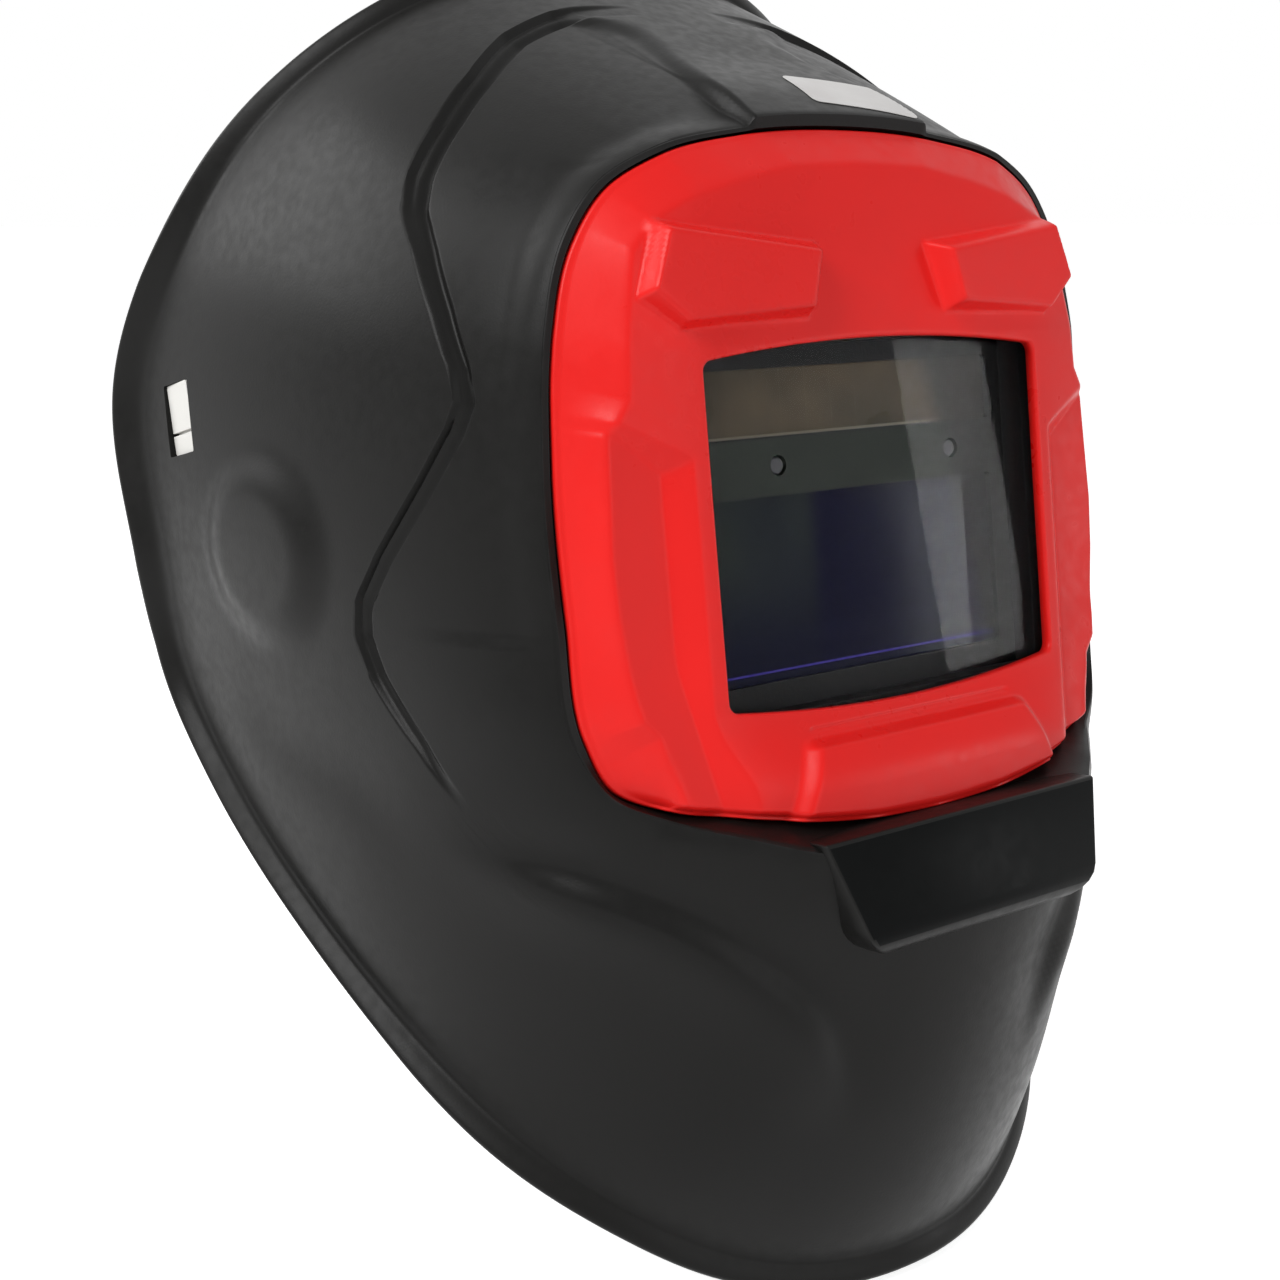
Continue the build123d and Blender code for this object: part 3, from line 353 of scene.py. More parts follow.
def shellRows():
    columns = shell["columns"]
    even = np.linspace(0, 2 * math.pi, 7201) + math.pi / 2
    off = (folded(even) - shell["crowdAt"]) / shell["crowdWidth"]
    crowd = 1 + shell["crowdGain"] * np.exp(-off ** 2)  # closer columns along the crest's edges
    share = np.concatenate([[0], np.cumsum((crowd[1:] + crowd[:-1]) / 2)])
    angle = np.interp(np.linspace(0, share[-1], columns, endpoint=False), share, even)
    middle = grooveValue(angle, 1)
    length = np.linalg.norm(skinPoint(angle, middle + 0.01) - skinPoint(angle, middle - 0.01), axis=1) / 0.02
    tiny = 0.01
    path = (skinPoint(angle + tiny, grooveValue(angle + tiny, 1))
            - skinPoint(angle - tiny, grooveValue(angle - tiny, 1)))
    path /= np.linalg.norm(path, axis=1)[:, None]
    across = np.sqrt(np.maximum(0.12, 1 - (path * skinFrame(angle, middle)[1]).sum(axis=1) ** 2))
    # close rows across the groove
    near = np.concatenate([np.linspace(-6.5, -4.4, 4), np.linspace(-4, 4, 21), np.linspace(4.4, 6.5, 4)])
    dense = [middle + d / (length * across) for d in near]
    before = [dense[0] * s for s in np.linspace(0, 1, 26)[:-1] ** 1.25]
    after = [dense[-1] + (shell["neck"] - dense[-1]) * s for s in np.linspace(0, 1, 42)[1:]]
    tRows = before + dense + after
    reach = outlineRadius(angle) + shell["gap"]
    front = windowPoint(reach * np.cos(angle), reach * np.sin(angle), bezelEdgeHeight(angle))
    first = mouldedSkin(angle, tRows[0])[0]
    shelf = first - front
    rows = [front + [0, 0.8, 0]]
    rows += [front + shelf * s for s in (0.12, 0.5, 0.8, 0.93)]
    for k, t in enumerate(tRows):
        place, normal, along = mouldedSkin(angle, t)
        if k == 0:
            place = place + 0.35 * along - 0.1 * normal
        rows.append(place)
    neck, normal, along = mouldedSkin(angle, np.full(columns, shell["neck"]))
    flare = math.radians(shell["rimFlare"])
    lip = math.cos(flare) * along + math.sin(flare) * normal
    lipOut = math.cos(flare) * normal - math.sin(flare) * along
    wide = np.interp(folded(angle), [row[0] for row in rimWidths], [row[1] for row in rimWidths])[:, None]
    end = mouldedSkin(angle, np.full(columns, 1.0))[0] + wide * lip
    h = shell["rimPull"]
    for s in np.linspace(0, 1, 12)[1:]:  # swept curve of the rim
        a, b = neck + along * h, end - lip * h
        rows.append((1 - s) ** 3 * neck + 3 * (1 - s) ** 2 * s * a + 3 * (1 - s) * s * s * b + s**3 * end)
    half = shell["wall"] / 2
    for turn in np.radians(np.linspace(20, 160, 6)):  # rounded lip
        rows.append(end - lipOut * half + half * (math.sin(turn) * lip + math.cos(turn) * lipOut))
    for s in np.linspace(0, 1, 6):
        a, b = end - lip * h, neck + along * h
        place = (1 - s) ** 3 * end + 3 * (1 - s) ** 2 * s * a + 3 * (1 - s) * s * s * b + s**3 * neck
        rows.append(place - shell["wall"] * ((1 - s) * lipOut + s * normal))
    innerT = [dense[-1] + (shell["neck"] - dense[-1]) * s for s in np.linspace(1, 0, 14)[1:]]
    innerT += [middle + d / (length * across) for d in (4.5, 3, 1.5, 0, -1.5, -3, -4.5, -6.5)]
    innerT += [0.1 + (dense[0] - 0.1) * s for s in np.linspace(1, 0, 6)[1:]]
    for t in innerT:
        place, normal, along = mouldedSkin(angle, t)
        rows.append(place - shell["wall"] * normal)
    for grow in (shell["pocketWall"], 0.0):
        reach = outlineRadius(angle) + shell["gap"] + grow
        rows.append(windowPoint(reach * np.cos(angle), reach * np.sin(angle), shell["footHeight"]))
    return rows


helmetShell = ringOf(shellRows(), "helmetShell")
print("shell modelled:", len(helmetShell.data.polygons), "faces")

slot = dict(width=13.5, height=18.5, tilt=13.0, back=6.2, reach=14.0, out=0.112, corner=0.5)  # out in metres


def slotCutter(side):  # rounded block that cuts a pivot slot
    clearSelection()
    bpy.ops.mesh.primitive_cube_add(size=1, location=(side * slot["out"], slot["back"] * mm, 0),
                                    rotation=(math.radians(-slot["tilt"]), 0, 0))
    cutter = bpy.context.object
    cutter.scale = (slot["reach"] * 2 * mm, slot["width"] * mm, slot["height"] * mm)
    settle(cutter)
    bevel = cutter.modifiers.new("corners", "BEVEL")
    bevel.width, bevel.segments = slot["corner"] * mm, 3
    applyAll(cutter)
    return cutter


for side in (1, -1):
    cutter = slotCutter(side)
    cut = helmetShell.modifiers.new("slot", "BOOLEAN")
    cut.object, cut.operation, cut.solver = cutter, "DIFFERENCE", "EXACT"
    applyAll(helmetShell)
    bpy.data.objects.remove(cutter)
pick(helmetShell)
bpy.ops.object.shade_smooth_by_angle(angle=math.radians(38))
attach(helmetShell, "visor")
print("pivot slots cut:", len(helmetShell.data.polygons), "faces")


# plate that carries the filter tray, behind the bezel
plate = dict(front=-18.0, back=-20.5, grow=1.75, halfWide=59.0, halfHigh=49.0, columns=240)


def makePlate():
    angle = np.linspace(0, 2 * math.pi, plate["columns"], endpoint=False)
    outer = outlineRadius(angle) + plate["grow"]
    inner = np.minimum(plate["halfWide"] / np.maximum(1e-6, np.abs(np.cos(angle))),
                       plate["halfHigh"] / np.maximum(1e-6, np.abs(np.sin(angle))))
    middle = (outer + inner) / 2
    rows = [windowPoint(r * np.cos(angle), r * np.sin(angle), n)
            for r, n in ((inner, plate["front"]), (middle, plate["front"]), (outer, plate["front"]),
                         (outer, plate["back"]), (middle, plate["back"]), (inner, plate["back"]))]
    obj = ringOf(rows, "trayPlate")
    pick(obj)
    bpy.ops.object.shade_smooth_by_angle(angle=math.radians(30))
    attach(obj, "visor")
    return obj


trayPlate = makePlate()

# block across the chin, half of its front face in the window's axes
chin = dict(top=(42.6, -66.4, 17.9), low=(34.3, -93.0, 24.2), depth=14.0, edge=1.1, lowCorner=8.0,
            ease=0.6, inset=0.3, facing=0.93)


def makeChinBlock():
    clearSelection()
    bpy.ops.mesh.primitive_cube_add(size=1)
    obj = bpy.context.object
    obj.name = obj.data.name = "chinBlock"
    inset = chin["inset"]  # corners are set out a little, so the bevels keep the size
    face = {1: (chin["top"][0] + inset, chin["top"][1], chin["top"][2] + inset),
            -1: (chin["low"][0] + inset, chin["low"][1] - chin["ease"], chin["low"][2] + inset)}
    inward = Vector(windowPoint(0, 0, -1.0)) - Vector(windowPoint(0, 0, 0))
    for vertex in obj.data.vertices:
        x, y, z = vertex.co
        u, w, n = face[1 if z > 0 else -1]
        place = Vector(windowPoint(math.copysign(u, x), w, n))
        if y > 0:
            place += inward * chin["depth"]
        vertex.co = place * mm
    pick(obj)
    bpy.ops.object.mode_set(mode="EDIT")
    bpy.ops.mesh.select_all(action="DESELECT")
    bpy.ops.object.mode_set(mode="OBJECT")
    low = min(v.co.z for v in obj.data.vertices)
    for edge in obj.data.edges:  # the two lower corners of the front are rounded
        ends = [obj.data.vertices[i].co for i in edge.vertices]
        sameSide = ends[0].x * ends[1].x > 0
        edge.select = sameSide and abs(ends[0].y - ends[1].y) > 0.008 and max(e.z for e in ends) < low + 0.006
    bpy.ops.object.mode_set(mode="EDIT")
    bpy.ops.mesh.select_mode(type="EDGE")
    bpy.ops.mesh.bevel(offset=chin["lowCorner"] * mm, segments=6, affect="EDGES")
    bpy.ops.object.mode_set(mode="OBJECT")
    bevel = obj.modifiers.new("edges", "BEVEL")
    bevel.width, bevel.segments, bevel.limit_method = chin["edge"] * mm, 3, "ANGLE"
    bevel.angle_limit = math.radians(25)
    applyAll(obj)
    outwardNormals(obj)
    pick(obj)
    bpy.ops.object.shade_smooth_by_angle(angle=math.radians(30))
    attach(obj, "visor")
    return obj


chinBlock = makeChinBlock()
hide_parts("shell")
print("plate and chin block modelled")

# red bezel
bezel = dict(columns=820, faceRows=66, bevelRows=13, wall=2.6, skirtEnd=-17.8, edge=0.9,
             halfWide=51.0, halfHigh=38.0, bow=3.5, corner=2.6, roll=0.9)
creaseLine = [  # half of the line where the face turns down to the bevelled edge
    (0, 80.7), (20, 80), (35.5, 76.9), (48.7, 73.2), (59.0, 68.5), (64.5, 62), (68.2, 42.4), (69.0, 31.1),
    (73.8, 23.9), (75.3, -1.7), (74.8, -14.4), (72.6, -31.8), (71.6, -37.0), (68.0, -40.8), (67.5, -43.0),
    (64.8, -56.2), (60.5, -57.6), (52, -59.4), (41, -61.6), (20, -64.4), (0, -65.1),
]
easedFace = dict(sideFrom=52, blend=9.0, lift=1.2, chinRise=7.2, chinFrom=(-36, -58))
padFace = [(59, 66), (20, 60.5), (23, 48.7), (55.5, 46.8), (63.5, 53.5)]  # top face of a brow pad, clockwise
padSlopes = (2.4, 2.4, 2.4, 2.4, 4.5)
browPad = dict(height=5.4, leanOut=0.075, leanUp=0.02, about=(22, 47))
scoop = dict(floor=-6.2, inner=(54.0, 61.0), end=(61.0, 15.0), endRun=(0.786, 0.618), fadeFrom=-26.0)
tab = dict(top=-47.2, topHalf=33.5, lowHalf=42.5, rise=3.2, high=19.0, sideSoft=2.2, topSoft=1.2,
           lineBelow=2.6, lineWidth=0.45, lineDepth=0.5)


def openingRadius(angle):
    w, h, c = bezel["halfWide"], bezel["halfHigh"], bezel["corner"]
    arcs = np.radians(np.linspace(90, 0, 16))
    across = np.linspace(0, w - c, 60)
    top = [(u, h + bezel["bow"] * (1 - (u / w) ** 2)) for u in across]
    side = [(w - c + c * math.cos(a), top[-1][1] - c + c * math.sin(a)) for a in arcs]
    straight = [(w, z) for z in np.linspace(side[-1][1], 0, 60)[1:]]
    half = np.array(top + side + straight + [(u, -z) for u, z in reversed(top + side + straight[:-1])])
    turn = np.arctan2(half[:, 1], half[:, 0])
    order = np.argsort(turn)
    return np.interp(np.arcsin(np.clip(np.sin(angle), -1, 1)), turn[order], np.hypot(*half.T)[order])


def creaseRadius(angle):
    fine = np.linspace(0, 1, 12)
    points = np.array(creaseLine, float)
    line = np.concatenate([points[i] + (points[i + 1] - points[i]) * fine[:, None]
                           for i in range(len(points) - 1)])
    turn = np.arctan2(line[:, 1], line[:, 0])
    order = np.argsort(turn)
    value = np.interp(np.arcsin(np.clip(np.sin(angle), -1, 1)), turn[order], np.hypot(*line.T)[order])
    return np.minimum(value, outlineRadius(angle) - 1.4)


def faceHeight(u, w):
    a = np.abs(u)
    turned = softMax(0.0 * a, a - easedFace["sideFrom"], easedFace["blend"]) - easedFace["lift"]
    side = bezelFace["sideDrop"] * turned / bezelFace["sideRun"]
    low = easedFace["chinRise"] * smoothStep(*easedFace["chinFrom"], w) * chinShare(u)
    height = side + faceTop(w) + low
    along = np.array(scoop["endRun"])  # side scoop
    away = -(a - scoop["end"][0]) * along[1] + (w - scoop["end"][1]) * along[0]
    rise = -scoop["floor"] / (scoop["inner"][1] - scoop["inner"][0])
    inner = scoop["floor"] + (scoop["inner"][1] - a) * rise
    end = scoop["floor"] + away * 0.9
    fade = scoop["floor"] + (scoop["fadeFrom"] - w) * 0.16
    pocket = softMax(softMax(np.full_like(a, scoop["floor"]), inner, 0.4), softMax(end, fade, 0.4), 0.4)
    return softMin(height, pocket, 0.4)


def withRelief(height, u, w):  # brow pads and chin tab that stand out of the face
    a = np.abs(u)
    aboutU, aboutW = browPad["about"]  # the pads lie back towards their outer ends
    top = browPad["height"] - browPad["leanOut"] * (a - aboutU) - browPad["leanUp"] * (w - aboutW)
    pad = top
    for i, (x0, y0) in enumerate(padFace):
        x1, y1 = padFace[(i + 1) % len(padFace)]
        run = math.hypot(x1 - x0, y1 - y0)
        inside = ((x1 - x0) * (w - y0) - (y1 - y0) * (a - x0)) / run
        pad = softMin(pad, top + inside * padSlopes[i], 0.6)
    height = softMax(height, pad, 0.4)
    slant = (tab["lowHalf"] - tab["topHalf"]) / tab["high"]
    tabSide = (tab["topHalf"] + (tab["top"] - w) * slant) - a
    sideSoft, topSoft = tab["sideSoft"], tab["topSoft"]
    raised = (height + tab["rise"] * smoothStep(-sideSoft, sideSoft, tabSide)
              * smoothStep(-topSoft, topSoft, tab["top"] - w))
    line = (np.exp(-((w - (tab["top"] + tab["lineBelow"])) / tab["lineWidth"]) ** 2)
            * smoothStep(-1, 1, tabSide - 1))
    return raised - tab["lineDepth"] * line


def bezelRows():
    fine = np.linspace(0, 2 * math.pi, 4000, endpoint=False) + math.pi / 2
    middle = (openingRadius(fine) + 2 * outlineRadius(fine)) / 3
    loop = np.stack([middle * np.cos(fine), middle * np.sin(fine)], axis=1)
    steps = np.linalg.norm(np.diff(np.vstack([loop, loop[:1]]), axis=0), axis=1)
    reach = np.concatenate([[0], np.cumsum(steps)])
    spread = np.linspace(0, reach[-1], bezel["columns"], endpoint=False)
    angle = np.interp(spread, reach, np.append(fine, fine[0] + 2 * math.pi))
    opening, crease, outline = openingRadius(angle), creaseRadius(angle), outlineRadius(angle)
    edgeHeight = bezelEdgeHeight(angle)
    cosA, sinA = np.cos(angle), np.sin(angle)
    rows = []

    def addRow(r, n):
        rows.append(windowPoint(r * cosA, r * sinA, n))

    def front(r):
        inside = faceHeight(r * cosA, r * sinA)
        atCrease = faceHeight(crease * cosA, crease * sinA)
        share = np.clip((r - crease) / (outline - crease), 0, 1)
        height = np.where(r <= crease, inside, atCrease + (edgeHeight - atCrease) * share)
        return withRelief(height, r * cosA, r * sinA)

    edge, roll = bezel["edge"], bezel["roll"]
    lip = front(opening + edge)
    addRow(opening, lip - bezel["wall"])
    addRow(opening, lip - edge)
    for turn in np.radians((25, 50, 72)):
        addRow(opening + edge * (1 - math.cos(turn)), lip - edge * (1 - math.sin(turn)))
    start = opening + edge
    for s in np.linspace(0, 1, bezel["faceRows"])[:-1]:
        r = start + (crease - roll - start) * s
        addRow(r, front(r))
    inner, mid, outer = front(crease - roll), front(crease), front(crease + roll)
    for s in (0.0, 0.35, 0.65, 1.0):  # rolled crease
        addRow(crease - roll + 2 * roll * s, (1 - s) ** 2 * inner + 2 * s * (1 - s) * mid + s * s * outer)
    last = outline - edge
    for s in np.linspace(0, 1, bezel["bevelRows"])[1:]:
        r = np.maximum(crease + roll, crease + roll + (last - crease - roll) * s)
        addRow(r, front(r))
    shoulder = front(last)
    for turn in np.radians((30, 60)):
        rolled = shoulder - edge * (1 - math.cos(turn))
        addRow(last + edge * math.sin(turn), np.maximum(rolled, bezel["skirtEnd"] + 0.3))
    addRow(outline, np.maximum(shoulder - edge, bezel["skirtEnd"] + 0.2))
    addRow(outline, np.full_like(angle, bezel["skirtEnd"]))
    addRow(outline - bezel["wall"], np.full_like(angle, bezel["skirtEnd"]))
    for s in np.linspace(1, 0.04, 18):
        r = opening + (outline - bezel["wall"] - opening) * s
        addRow(r, np.maximum(front(r) - bezel["wall"], bezel["skirtEnd"] + 0.05))
    return rows


frontBezel = ringOf(bezelRows(), "frontBezel")
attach(frontBezel, "visor")
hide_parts("front_bezel")
print("bezel modelled:", len(frontBezel.data.polygons), "faces")

# blank label on the crest
label = dict(x=12.0, y=-108.5, turn=-10.0, width=29.0, height=16.5, corner=2.0, thick=0.12)


def makeLabel():
    clearSelection()
    bpy.ops.mesh.primitive_grid_add(x_subdivisions=54, y_subdivisions=42, size=1)
    obj = bpy.context.object
    obj.name = obj.data.name = "blankLabel"
    halfWide, halfHigh, c = label["width"] / 2, label["height"] / 2, label["corner"]
    for vertex in obj.data.vertices:  # corners drawn in to an arc
        x, y = vertex.co.x * label["width"], vertex.co.y * label["height"]
        cx, cy = max(0.0, abs(x) - (halfWide - c)), max(0.0, abs(y) - (halfHigh - c))
        far = math.hypot(cx, cy)
        if far > 1e-6 and cx > 0 and cy > 0:
            square = max(cx, cy)
            cx, cy = cx / far * square, cy / far * square
            x, y = math.copysign(halfWide - c + cx, x), math.copysign(halfHigh - c + cy, y)
        vertex.co.x, vertex.co.y = x * mm, y * mm
    obj.rotation_euler[2] = math.radians(label["turn"])
    obj.location = (label["x"] * mm, label["y"] * mm, 0.14)
    settle(obj)
    wrap = obj.modifiers.new("lay", "SHRINKWRAP")
    wrap.target, wrap.wrap_method = helmetShell, "PROJECT"
    wrap.use_project_z, wrap.use_negative_direction, wrap.use_positive_direction = True, True, False
    wrap.offset = 0.1 * mm
    applyAll(obj)
    print("label's highest point, mm:", round(max(v.co.z for v in obj.data.vertices) / mm, 1))
    thick = obj.modifiers.new("paper", "SOLIDIFY")
    thick.thickness, thick.offset = label["thick"] * mm, 1.0
    applyAll(obj)
    outwardNormals(obj)
    pick(obj)
    bpy.ops.object.shade_smooth_by_angle(angle=math.radians(30))
    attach(obj, "visor")
    return obj


blankLabel = makeLabel()
print("label laid on the crest")

# padded pieces of the head harness
padding = {
    "sweatband": dict(piece="sweatPad", voxel=2.2, shrink=0.35, pressure=4.0, cap=1.0, easing=12,
                      slot="sweat_fabric"),
    "rear_pad": dict(piece="napePad", voxel=2.2, shrink=0.35, pressure=4.0, cap=1.6, easing=12,
                     slot="pad_foam"),
}
clothFrames = 20


def padPiece(nodeName, made):  # a CAD pad remeshed, filled by cloth pressure and smoothed
    pick(nodes[nodeName])
    bpy.ops.object.duplicate()
    obj = bpy.context.object
    obj.name = made["piece"]
    obj.data = obj.data.copy()
    obj.data.name = made["piece"]
    bpy.ops.object.mode_set(mode="EDIT")
    bpy.ops.mesh.select_all(action="SELECT")
    bpy.ops.mesh.remove_doubles(threshold=1e-6)
    bpy.ops.mesh.normals_make_consistent(inside=False)
    bpy.ops.object.mode_set(mode="OBJECT")
    remesh = obj.modifiers.new("even", "REMESH")
    remesh.mode, remesh.voxel_size = "VOXEL", made["voxel"] * mm
    applyAll(obj)
    shape = obj.data
    count = len(shape.vertices)
    start = np.zeros(count * 3)
    normal = np.zeros(count * 3)
    shape.vertices.foreach_get("co", start)
    shape.vertices.foreach_get("normal", normal)
    start, normal = start.reshape(-1, 3), normal.reshape(-1, 3)
    start = start - normal * made["shrink"] * mm
    shape.vertices.foreach_set("co", start.reshape(-1))
    shape.update()
    outer = (start[:, :2] * normal[:, :2]).sum(axis=1) > 0.6 * np.linalg.norm(start[:, :2], axis=1)
    held = obj.vertex_groups.new(name="held")  # the side against the band stays put
    held.add([int(i) for i in np.nonzero(outer)[0]], 1.0, "REPLACE")
    cloth = obj.modifiers.new("fill", "CLOTH")
    cloth.settings.quality = 5
    cloth.settings.mass = 0.3
    cloth.settings.vertex_group_mass = "held"
    cloth.settings.use_pressure = True
    cloth.settings.uniform_pressure_force = made["pressure"]
    cloth.settings.effector_weights.gravity = 0
    cloth.collision_settings.use_collision = False
    for number in range(1, clothFrames + 1):
        bpy.context.scene.frame_set(number)
    applyAll(obj)
    bpy.context.scene.frame_set(1)
    filled = np.zeros(count * 3)
    obj.data.vertices.foreach_get("co", filled)
    move = filled.reshape(-1, 3) - start
    size = np.linalg.norm(move, axis=1)[:, None]
    move *= np.minimum(1.0, made["cap"] * mm / np.maximum(size, 1e-9))
    obj.data.vertices.foreach_set("co", (start + move).reshape(-1))
    obj.data.update()
    smooth = obj.modifiers.new("ease", "SMOOTH")
    smooth.factor, smooth.iterations = 0.5, made["easing"]
    finer = obj.modifiers.new("finer", "SUBSURF")
    finer.levels = finer.render_levels = 1
    applyAll(obj)
    pick(obj)
    bpy.ops.object.shade_smooth()
    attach(obj, "headgear")
    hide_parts(nodeName)
    return obj


pads = {name: padPiece(name, made) for name, made in padding.items()}
print("pads filled:", [len(pad.data.polygons) for pad in pads.values()])


def newGroup(name, inputs, outputs):
    group = bpy.data.node_groups.new(name, "ShaderNodeTree")
    for socketName, kind, value in inputs:
        socket = group.interface.new_socket(name=socketName, in_out="INPUT", socket_type=kind)
        socket.default_value = value
    for socketName, kind in outputs:
        group.interface.new_socket(name=socketName, in_out="OUTPUT", socket_type=kind)
    return group, group.nodes.new("NodeGroupInput"), group.nodes.new("NodeGroupOutput")


def addNode(tree, kind, values=None, **settings):
    node = tree.nodes.new(kind)
    for key, value in settings.items():
        setattr(node, key, value)
    for key, value in (values or {}).items():
        node.inputs[key].default_value = value
    return node


def mathNode(tree, operation, a, b=None, clamp=False):
    node = addNode(tree, "ShaderNodeMath", operation=operation, use_clamp=clamp)
    for i, value in enumerate((a, b)):
        if isinstance(value, (int, float)):
            node.inputs[i].default_value = value
        elif value is not None:
            tree.links.new(value, node.inputs[i])
    return node.outputs[0]


def rangeNode(tree, value, low, high, toLow=0.0, toHigh=1.0):
    node = addNode(tree, "ShaderNodeMapRange", {1: low, 2: high, 3: toLow, 4: toHigh}, clamp=True)
    tree.links.new(value, node.inputs[0])
    return node.outputs[0]


def mixColour(tree, share, a, b, blend="MIX"):
    node = addNode(tree, "ShaderNodeMix", data_type="RGBA", blend_type=blend)
    for socket, value in zip((node.inputs[0], node.inputs[6], node.inputs[7]), (share, a, b)):
        if isinstance(value, (int, float, tuple, list)):
            socket.default_value = value
        else:
            tree.links.new(value, socket)
    return node.outputs[2]


def noiseNode(tree, place, scale, detail=2.0, rough=0.5):
    node = addNode(tree, "ShaderNodeTexNoise", {"Detail": detail, "Roughness": rough})
    tree.links.new(place, node.inputs["Vector"])
    if isinstance(scale, (int, float)):
        node.inputs["Scale"].default_value = scale
    else:
        tree.links.new(scale, node.inputs["Scale"])
    return node.outputs["Fac"]


def buildMouldedGrain():  # uneven colour and sheen of moulded plastic, and its fine grain
    group, given, made = newGroup(
        "mouldedGrain",
        [("Colour", "NodeSocketColor", (0.5, 0.5, 0.5, 1)), ("Variation", "NodeSocketFloat", 0.1),
         ("Roughness", "NodeSocketFloat", 0.4), ("Sheen Change", "NodeSocketFloat", 0.08),
         ("Grain Scale", "NodeSocketFloat", 900.0)],
        [("Colour", "NodeSocketColor"), ("Roughness", "NodeSocketFloat"), ("Height", "NodeSocketFloat")])
    place = addNode(group, "ShaderNodeTexCoord").outputs["Object"]
    broad = noiseNode(group, place, 14.0, 3.0)
    fine = noiseNode(group, place, given.outputs["Grain Scale"], 2.0, 0.6)
    speck = noiseNode(group, place, 320.0, 1.0)
    wide = rangeNode(group, broad, 0.3, 0.7, -1.0, 1.0)
    shade = mathNode(group, "MULTIPLY", wide, given.outputs["Variation"])
    tint = mathNode(group, "MULTIPLY_ADD", shade, 1.0)
    tint.node.inputs[2].default_value = 1.0
    scaled = addNode(group, "ShaderNodeVectorMath", operation="SCALE")
    group.links.new(given.outputs["Colour"], scaled.inputs[0])
    group.links.new(tint, scaled.inputs["Scale"])
    group.links.new(scaled.outputs[0], made.inputs["Colour"])
    change = mathNode(group, "ADD", mathNode(group, "MULTIPLY", wide, 0.6),
                      rangeNode(group, speck, 0.3, 0.7, -0.5, 0.5))
    rough = mathNode(group, "ADD", given.outputs["Roughness"],
                     mathNode(group, "MULTIPLY", change, given.outputs["Sheen Change"]), clamp=True)
    group.links.new(rough, made.inputs["Roughness"])
    group.links.new(fine, made.inputs["Height"])
    return group


def buildEdgeWearAndHighlight():  # mask of rubbed edges, broken up by scuffs; the lighter edges it gives are partly real wear and partly painted highlight
    group, given, made = newGroup(
        "edgeWearAndHighlight", [("Reach", "NodeSocketFloat", 0.0008), ("Amount", "NodeSocketFloat", 0.5)],
        [("Mask", "NodeSocketFloat")])
    place = addNode(group, "ShaderNodeTexCoord").outputs["Object"]
    rounded = addNode(group, "ShaderNodeBevel", samples=4)
    group.links.new(given.outputs["Reach"], rounded.inputs["Radius"])
    facing = addNode(group, "ShaderNodeNewGeometry").outputs["Normal"]
    dot = addNode(group, "ShaderNodeVectorMath", operation="DOT_PRODUCT")
    group.links.new(rounded.outputs[0], dot.inputs[0])
    group.links.new(facing, dot.inputs[1])
    edge = rangeNode(group, dot.outputs["Value"], 0.985, 0.90)
    scuff = rangeNode(group, noiseNode(group, place, 160.0, 3.0, 0.65), 0.40, 0.62)
    mask = mathNode(group, "MULTIPLY", mathNode(group, "MULTIPLY", edge, scuff), given.outputs["Amount"])
    group.links.new(mask, made.inputs["Mask"])
    return group


def buildDustFilm():  # thin dust on faces that look up
    group, given, made = newGroup(
        "dustFilm", [("Amount", "NodeSocketFloat", 0.1), ("Scale", "NodeSocketFloat", 60.0)],
        [("Mask", "NodeSocketFloat")])
    place = addNode(group, "ShaderNodeTexCoord").outputs["Object"]
    facing = addNode(group, "ShaderNodeNewGeometry").outputs["Normal"]
    split = addNode(group, "ShaderNodeSeparateXYZ")
    group.links.new(facing, split.inputs[0])
    upward = rangeNode(group, split.outputs["Z"], 0.2, 1.0)
    patchy = rangeNode(group, noiseNode(group, place, given.outputs["Scale"], 5.0, 0.7), 0.35, 0.8)
    mask = mathNode(group, "MULTIPLY", mathNode(group, "MULTIPLY", upward, patchy), given.outputs["Amount"])
    group.links.new(mask, made.inputs["Mask"])
    return group


def buildKnitWeave():  # ribs and crossing threads of a knitted cover
    group, given, made = newGroup(
        "knitWeave",
        [("Thread", "NodeSocketColor", (0.1, 0.1, 0.1, 1)), ("Gap", "NodeSocketColor", (0.03, 0.03, 0.03, 1)),
         ("Scale", "NodeSocketFloat", 700.0)],
        [("Colour", "NodeSocketColor"), ("Roughness", "NodeSocketFloat"), ("Height", "NodeSocketFloat")])
    place = addNode(group, "ShaderNodeTexCoord").outputs["Object"]
    waves = []
    for direction in ("X", "Z"):
        wave = addNode(group, "ShaderNodeTexWave", {"Distortion": 1.2, "Detail": 1.0},
                       bands_direction=direction)
        group.links.new(place, wave.inputs["Vector"])
        group.links.new(given.outputs["Scale"], wave.inputs["Scale"])
        waves.append(wave.outputs["Fac"])
    height = mathNode(group, "MULTIPLY", mathNode(group, "ADD", waves[0], waves[1]), 0.5)
    fuzz = noiseNode(group, place, 2400.0, 2.0)
    height = mathNode(group, "ADD", height, mathNode(group, "MULTIPLY", fuzz, 0.5))
    worn = noiseNode(group, place, 30.0, 4.0)
    colour = mixColour(group, rangeNode(group, height, 0.35, 1.1),
                       given.outputs["Gap"], given.outputs["Thread"])
    colour = mixColour(group, rangeNode(group, worn, 0.45, 0.75, 0.0, 0.3), colour, (0.16, 0.15, 0.14, 1))
    group.links.new(colour, made.inputs["Colour"])
    group.links.new(rangeNode(group, worn, 0.3, 0.7, 0.82, 0.96), made.inputs["Roughness"])
    group.links.new(height, made.inputs["Height"])
    return group


